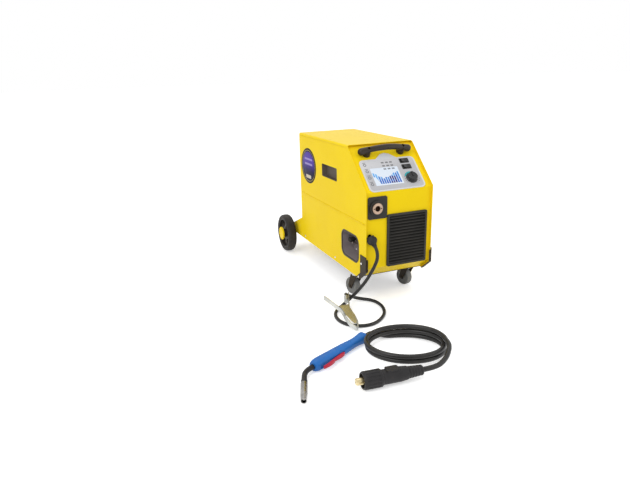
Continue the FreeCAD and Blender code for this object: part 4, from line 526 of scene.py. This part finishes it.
def line(name, points, radius, material):
    """Round cable along a route."""
    data = bpy.data.curves.new(name, "CURVE")
    data.dimensions = "3D"
    data.bevel_depth = radius / 1000
    data.bevel_resolution = 6
    data.resolution_u = 8
    data.use_fill_caps = True
    spline = data.splines.new("NURBS")
    spline.points.add(len(points) - 1)
    for point, place in zip(spline.points, points):
        point.co = (*(Vector(place) / 1000), 1)
    spline.order_u = 3
    spline.use_endpoint_u = True
    data.materials.append(material)
    obj = bpy.data.objects.new(name, data)
    bpy.context.collection.objects.link(obj)
    return obj


TORCH_HEADING = math.radians(205.3)
TORCH_ALONG = Vector((math.cos(TORCH_HEADING), math.sin(TORCH_HEADING), 0))
TORCH_NOSE = Vector((-427.0, FRONT - 301.0, 15.9))
TORCH = frame_at(TORCH_NOSE, TORCH_ALONG, Z.cross(TORCH_ALONG))
TORCH_LENGTH = 211.0
TORCH_WIDTH = 34.0
PLUG_HEADING = math.radians(174.4)
PLUG_ALONG = Vector((math.cos(PLUG_HEADING), math.sin(PLUG_HEADING), 0))
PLUG_END = Vector((-187.0, FRONT - 440.0, 23.4))
TORCH_R = 6.75
EARTH_R = 5.5
COIL_MIDDLE = (-157.0, FRONT - 306.0)
COIL_TURN = math.radians(-21.6)
COIL_LONG = 106.0
COIL_SHORT = 81.0
COIL_RISE = 14.2
COIL_LIFT = 0.4
COIL_GROWTH = 1.01
COIL_STEPS = 34
COIL_START = 95.0
COIL_END = COIL_START - 810.0


def torch_loop(angle, growth=1.0):
    """Place on the torch cable's coil at an angle in degrees, which falls as the coil climbs."""
    across = Vector((math.cos(COIL_TURN), math.sin(COIL_TURN), 0))
    away = Z.cross(across)
    z = TORCH_R + COIL_LIFT + COIL_RISE * (COIL_START - angle) / 360.0
    sway = growth * (1.0 + 0.016 * math.sin(math.radians(0.55 * (angle + 40))))
    a = math.radians(angle)
    middle = Vector((*COIL_MIDDLE, z))
    return middle + across * (COIL_LONG * sway * math.cos(a)) + away * (COIL_SHORT * sway * math.sin(a))


def coil_heading(angle):
    return (torch_loop(angle - 0.05) - torch_loop(angle + 0.05)).normalized()


def torch_route():
    """From the handle, through the coil, over the coil's side and down to the plug."""
    start = TORCH_NOSE - TORCH_ALONG * (TORCH_LENGTH - 2)
    points = [start, start - TORCH_ALONG * 2 * TORCH_R, start - TORCH_ALONG * 42]
    points.append(torch_loop(COIL_START, COIL_GROWTH) - coil_heading(COIL_START) * 34)
    for k in range(COIL_STEPS + 1):
        points.append(torch_loop(COIL_START + (COIL_END - COIL_START) * k / COIL_STEPS, COIL_GROWTH))
    leave = coil_heading(COIL_END)
    end = torch_loop(COIL_END) + leave * 2 * TORCH_R
    points += [end, end + leave * 36]
    points += [Vector((-92, FRONT - 411.5, 33)), Vector((-115.5, FRONT - 430, 28))]
    points += [PLUG_END - PLUG_ALONG * 38, PLUG_END]
    return points


GLAND_LEAN = Vector((0.26, -0.50, -0.826)).normalized()
GLAND_ROOT = Vector((-103.5, PANEL - 4.0, 236.0))
GLAND_TIP = GLAND_ROOT + GLAND_LEAN * GLAND_LENGTH
CLAMP_HEADING = math.radians(266.0)
CLAMP_TILT = math.radians(11.3)
CLAMP_FLAT = Vector((math.cos(CLAMP_HEADING), math.sin(CLAMP_HEADING), 0))
CLAMP_ALONG = CLAMP_FLAT * math.cos(CLAMP_TILT) - Z * math.sin(CLAMP_TILT)
CLAMP = frame_at((-221.0, FRONT - 68.0, 31.0), CLAMP_ALONG, Z.cross(CLAMP_FLAT))
EARTH_ROUTE = ((-93, -27, 171), (-105, -29, 148), (-113, -26.5, 132), (-126, -21.5, 107),
               (-139, -12, 83), (-151, 1, 60), (-166, 12, 39), (-186, 18, 20), (-211, 12, 8.5),
               (-231, -5, 6), (-244, -35, 5.9), (-246, -71, 5.9), (-232, -105, 5.9),
               (-201, -129, 5.9), (-162, -132, 5.9), (-124, -111, 5.9), (-92, -77, 5.9),
               (-75, -33, 5.9), (-74, 8, 5.9), (-86, 35, 5.9), (-104.2, 50, 6.3),
               (-128.7, 57.5, 12.3), (-153.8, 55.5, 25.1), (-173.4, 41, 40))


def earth_route():
    """From the gland down to the floor, round its loop and up into the clamp's handle."""
    entry = CLAMP @ Vector((-78.0, 28.5, 0)) * 1000
    into = (CLAMP.to_3x3() @ Vector((64.0, -22.0, 0))).normalized()
    laid = [Vector((x, FRONT + y, z)) for x, y, z in EARTH_ROUTE]
    straight = 14
    return [GLAND_TIP, GLAND_TIP + GLAND_LEAN * straight, *laid, entry - into * straight, entry]


def cords():
    torch = line("torch_cable", torch_route(), TORCH_R, CABLE)
    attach(torch, "base")
    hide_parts("torch_coil", "torch_lead")
    tuple(torch_route()[0] / 1000)
    earth = line("earth_cable", earth_route(), EARTH_R, CABLE)
    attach(earth, "base")
    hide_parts("earth_coil", "earth_lead")


# Floor


def floor():
    """White floor out to the horizon, lit a little where the camera sees it."""
    bpy.ops.object.select_all(action="DESELECT")
    bpy.ops.mesh.primitive_grid_add(x_subdivisions=8, y_subdivisions=8, size=60.0)
    ground = bpy.context.object
    ground.name = "floor"
    paint = Finish("floor_white", rough=0.9, specular=0.1)
    tone = paint.noise(3.0, 2.0).ramp(0.3, 0.7)
    paint.set("Base Color", tone.mix((0.93, 0.93, 0.93), (0.95, 0.95, 0.95)))
    paint.set("Emission Color", looked_at(paint.tree).mix((0.0, 0.0, 0.0), (1.0, 1.0, 1.0)))
    paint.set("Emission Strength", 0.45)
    ground.data.materials.append(paint.material)


# Modelling: a primitive in a local frame in millimetres, shaped in edit mode


def start(kind, stretch, at, **settings):
    """Add a primitive alone, stretched to its size round its place."""
    bpy.ops.object.select_all(action="DESELECT")
    getattr(bpy.ops.mesh, "primitive_" + kind + "_add")(**settings)
    piece = bpy.context.object
    piece.scale = stretch
    piece.location = at
    bpy.ops.object.transform_apply(location=True, rotation=False, scale=True)
    return piece


def choose(piece, kind, test):
    """Select the faces or edges whose middle and direction pass a test, and stay in edit mode."""
    bpy.ops.object.mode_set(mode="EDIT")
    bpy.ops.mesh.select_mode(type=kind)
    bpy.ops.mesh.select_all(action="DESELECT")
    bpy.ops.object.mode_set(mode="OBJECT")
    mesh = piece.data
    if kind == "FACE":
        for face in mesh.polygons:
            face.select = bool(test(face.center, face.normal))
    else:
        for edge in mesh.edges:
            one, other = (mesh.vertices[k].co for k in edge.vertices)
            edge.select = bool(test((one + other) / 2, (other - one).normalized()))
    bpy.ops.object.mode_set(mode="EDIT")


def top_face(middle, normal):
    return normal.z > 0.9


def upright(middle, along):
    return abs(along.z) > 0.9


def soften(piece, test, amount, segments):
    """Bevel the edges that pass a test."""
    choose(piece, "EDGE", test)
    bpy.ops.mesh.bevel(offset=amount, segments=segments, affect="EDGES")
    bpy.ops.object.mode_set(mode="OBJECT")


def pull(steps):
    """Extrude the selected end through steps of shift and growth."""
    for shift, grow in steps:
        bpy.ops.mesh.extrude_region_move(TRANSFORM_OT_translate={"value": shift})
        if grow != 1:
            bpy.ops.transform.resize(value=(grow, grow, grow))


def done(piece, name, matrix, material, body, slot, *replaced, smooth=35.0):
    """Move a finished piece to its place on the part, and give it its finish and body; its slot argument
    is not used.
    """
    if piece.mode != "OBJECT":
        bpy.ops.object.mode_set(mode="OBJECT")
    piece.matrix_basis = matrix @ piece.matrix_basis
    bpy.ops.object.transform_apply(location=True, rotation=True, scale=True)
    bpy.ops.object.shade_smooth_by_angle(angle=math.radians(smooth))
    piece.name = piece.data.name = name
    piece.data.materials.clear()
    piece.data.materials.append(material)
    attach(piece, body)
    if replaced:
        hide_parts(*replaced)
    return piece


camera()
cords()
studio()
finish_nodes()
floor()

# Pieces


def door_decal():
    """Blank oval sticker on the door."""
    size = (DECAL_WIDTH, DECAL_HEIGHT, 0.35)
    piece = start("cylinder", size, (-DECAL_BACK, DECAL_Z, 0.2), vertices=96, radius=0.5, depth=1)
    soften(piece, lambda middle, along: abs(along.z) < 0.5 and middle.z > 0.3, 0.12, 2)
    done(piece, "door_decal", LEFT, STICKER, "door", "cabinet_paint")


def door_recess():
    """Brown liner of the hand recess, open towards the hand."""
    size = (RECESS_LENGTH, RECESS_HEIGHT, RECESS_DEPTH)
    piece = start("cube", size, (-RECESS_BACK, RECESS_Z, -0.2 - RECESS_DEPTH / 2), size=1)
    soften(piece, upright, 4.8, 5)
    choose(piece, "FACE", top_face)
    bpy.ops.mesh.delete(type="FACE")
    soften(piece, lambda middle, along: abs(along.z) < 0.5 and middle.z < -19, 1.5, 2)
    wall = piece.modifiers.new("wall", "SOLIDIFY")
    wall.thickness = 0.5
    wall.offset = -1
    bpy.ops.object.modifier_apply(modifier="wall")
    done(piece, "door_recess", LEFT, RECESS, "door", "cabinet_paint")


def face_film():
    """Printed film on the control face."""
    piece = start("cube", (FILM_WIDTH, FILM_LENGTH, 0.16), (0, FILM_UP, 2.6), size=1)
    soften(piece, upright, 11, 8)
    done(piece, "face_film", SLOPE, PRINT_AND_GLINT, "base", "fascia_grey")


def grille_shade_sheet():
    """Dark sheet behind the slats: painted shade that stands in for the dark inside of the cabinet."""
    piece = start("cube", (SHADE_SHEET_WIDTH, SHADE_SHEET_HEIGHT, 1.4), (SHADE_SHEET_X, SHADE_SHEET_Z, -7.5), size=1)
    soften(piece, upright, 4, 4)
    done(piece, "grille_shade_sheet", FACE, GRILLE_SHADE, "base", "black_plastic")


def cut_out(outline, thickness, low=0.0):
    """Sheet blank: a flat ring of corners moved to its outline, then given its thickness."""
    blank = start("circle", (1, 1, 1), (0, 0, 0), vertices=len(outline), radius=1, fill_type="NGON")
    for corner, (x, y) in zip(blank.data.vertices, outline):
        corner.co = (x, y, low)
    choose(blank, "FACE", lambda middle, normal: True)
    bpy.ops.mesh.extrude_region_move(TRANSFORM_OT_translate={"value": (0, 0, thickness)})
    bpy.ops.mesh.select_all(action="SELECT")
    bpy.ops.mesh.normals_make_consistent(inside=False)
    bpy.ops.object.mode_set(mode="OBJECT")
    return blank


def gland_boot():
    """Bulbous rubber boot where the earth cable leaves the front."""
    side = GLAND_LEAN.cross(X)
    place = frame_at(GLAND_ROOT, side, GLAND_LEAN.cross(side))
    boot = start("cylinder", (1, 1, 1), (0, 0, 2), vertices=48, radius=12.0, depth=4)
    choose(boot, "FACE", top_face)
    pull((((0, 0, 3.0), 1.22), ((0, 0, 4.5), 1.12), ((0, 0, 5.0), 1.0), ((0, 0, 4.5), 0.88),
          ((0, 0, 4.0), 0.74), ((0, 0, 3.5), 0.74), ((0, 0, 3.5), 0.86), ((0, 0, 4.0), 0.95)))
    done(boot, "gland_boot", place, SOFT_BLACK, "base", "black_plastic", "earth_gland", smooth=60.0)


def trigger_lever():
    """Two-lobed red lever: a long finger pad, a notch and a short hooked tail."""
    shares = ((0.075, 0.17), (0.072, 0.25), (0.095, 0.31), (0.150, 0.345), (0.215, 0.335),
              (0.265, 0.27), (0.290, 0.19), (0.315, 0.165), (0.360, 0.185), (0.420, 0.20),
              (0.470, 0.165), (0.502, 0.06), (0.500, -0.02), (0.464, -0.10), (0.398, -0.04),
              (0.294, 0.03), (0.190, 0.13))
    outline = [(-along * TORCH_LENGTH, (0.5 + across) * TORCH_WIDTH) for along, across in shares]
    thickness = 9.0
    lever = cut_out(outline, thickness, -thickness / 2)
    soften(lever, lambda middle, along: abs(along.z) < 0.5, 1.3, 3)
    done(lever, "trigger_lever", TORCH, RED, "torch_trigger", "trigger_red", "torch_trigger", smooth=50.0)


def plug_relief():
    """Ribbed rubber grip behind the plug's housing, closed to the cable at its end."""
    place = frame_at(PLUG_END + PLUG_ALONG * GRIP_LENGTH, Z, Z.cross(PLUG_ALONG))
    sleeve = start("cylinder", (1, 1, 1), (0, 0, 2), vertices=48, radius=GRIP_R, depth=4)
    choose(sleeve, "FACE", top_face)
    rib = (((0, 0, 0.8), 0.95), ((0, 0, 2.0), 1), ((0, 0, 0.8), 1.04), ((0, 0, 4.4), 0.975))
    pull(rib * 4)
    pull((((0, 0, 2.0), 0.90), ((0, 0, 1.4), 0.82), ((0, 0, 0.8), 0.74)))
    done(sleeve, "plug_relief", place, SOFT_BLACK, "base", "black_plastic", smooth=50.0)


def clamp_cheek():
    """Pressed cheek over the clamp's pivot, from the handles' waist towards the jaws."""
    edge = ((-24, 16), (-8, 13.5), (26, 13), (58, 8), (74, 3))
    outline = [(x, -y) for x, y in edge] + list(reversed(edge))
    cheek = cut_out(outline, 1.0, 9.6)
    soften(cheek, upright, 2.0, 3)
    done(cheek, "clamp_cheek", CLAMP, STEEL, "base", "clamp_steel")


def tub_fittings():
    """Cover block at the tub's rear end and a bright screw on its floor."""
    block = start("cube", (16, 15, 25), (-160, 183, -30.5), size=1)
    soften(block, upright, 3, 3)
    soften(block, lambda middle, along: abs(along.z) < 0.5 and middle.z > -20, 1.4, 2)
    done(block, "terminal_cover", LEFT, BLACK, "base", "black_plastic")
    screw = start("cylinder", (1, 1, 1), (-156, 146, -42.4), vertices=32, radius=4.5, depth=1.6)
    choose(screw, "FACE", top_face)
    pull((((0, 0, 1.2), 0.7),))
    done(screw, "tub_screw", LEFT, CHROME, "base", "chrome_screw")


for shape in (door_decal, door_recess, face_film, grille_shade_sheet, tub_fittings, gland_boot, trigger_lever,
              plug_relief, clamp_cheek):
    shape()
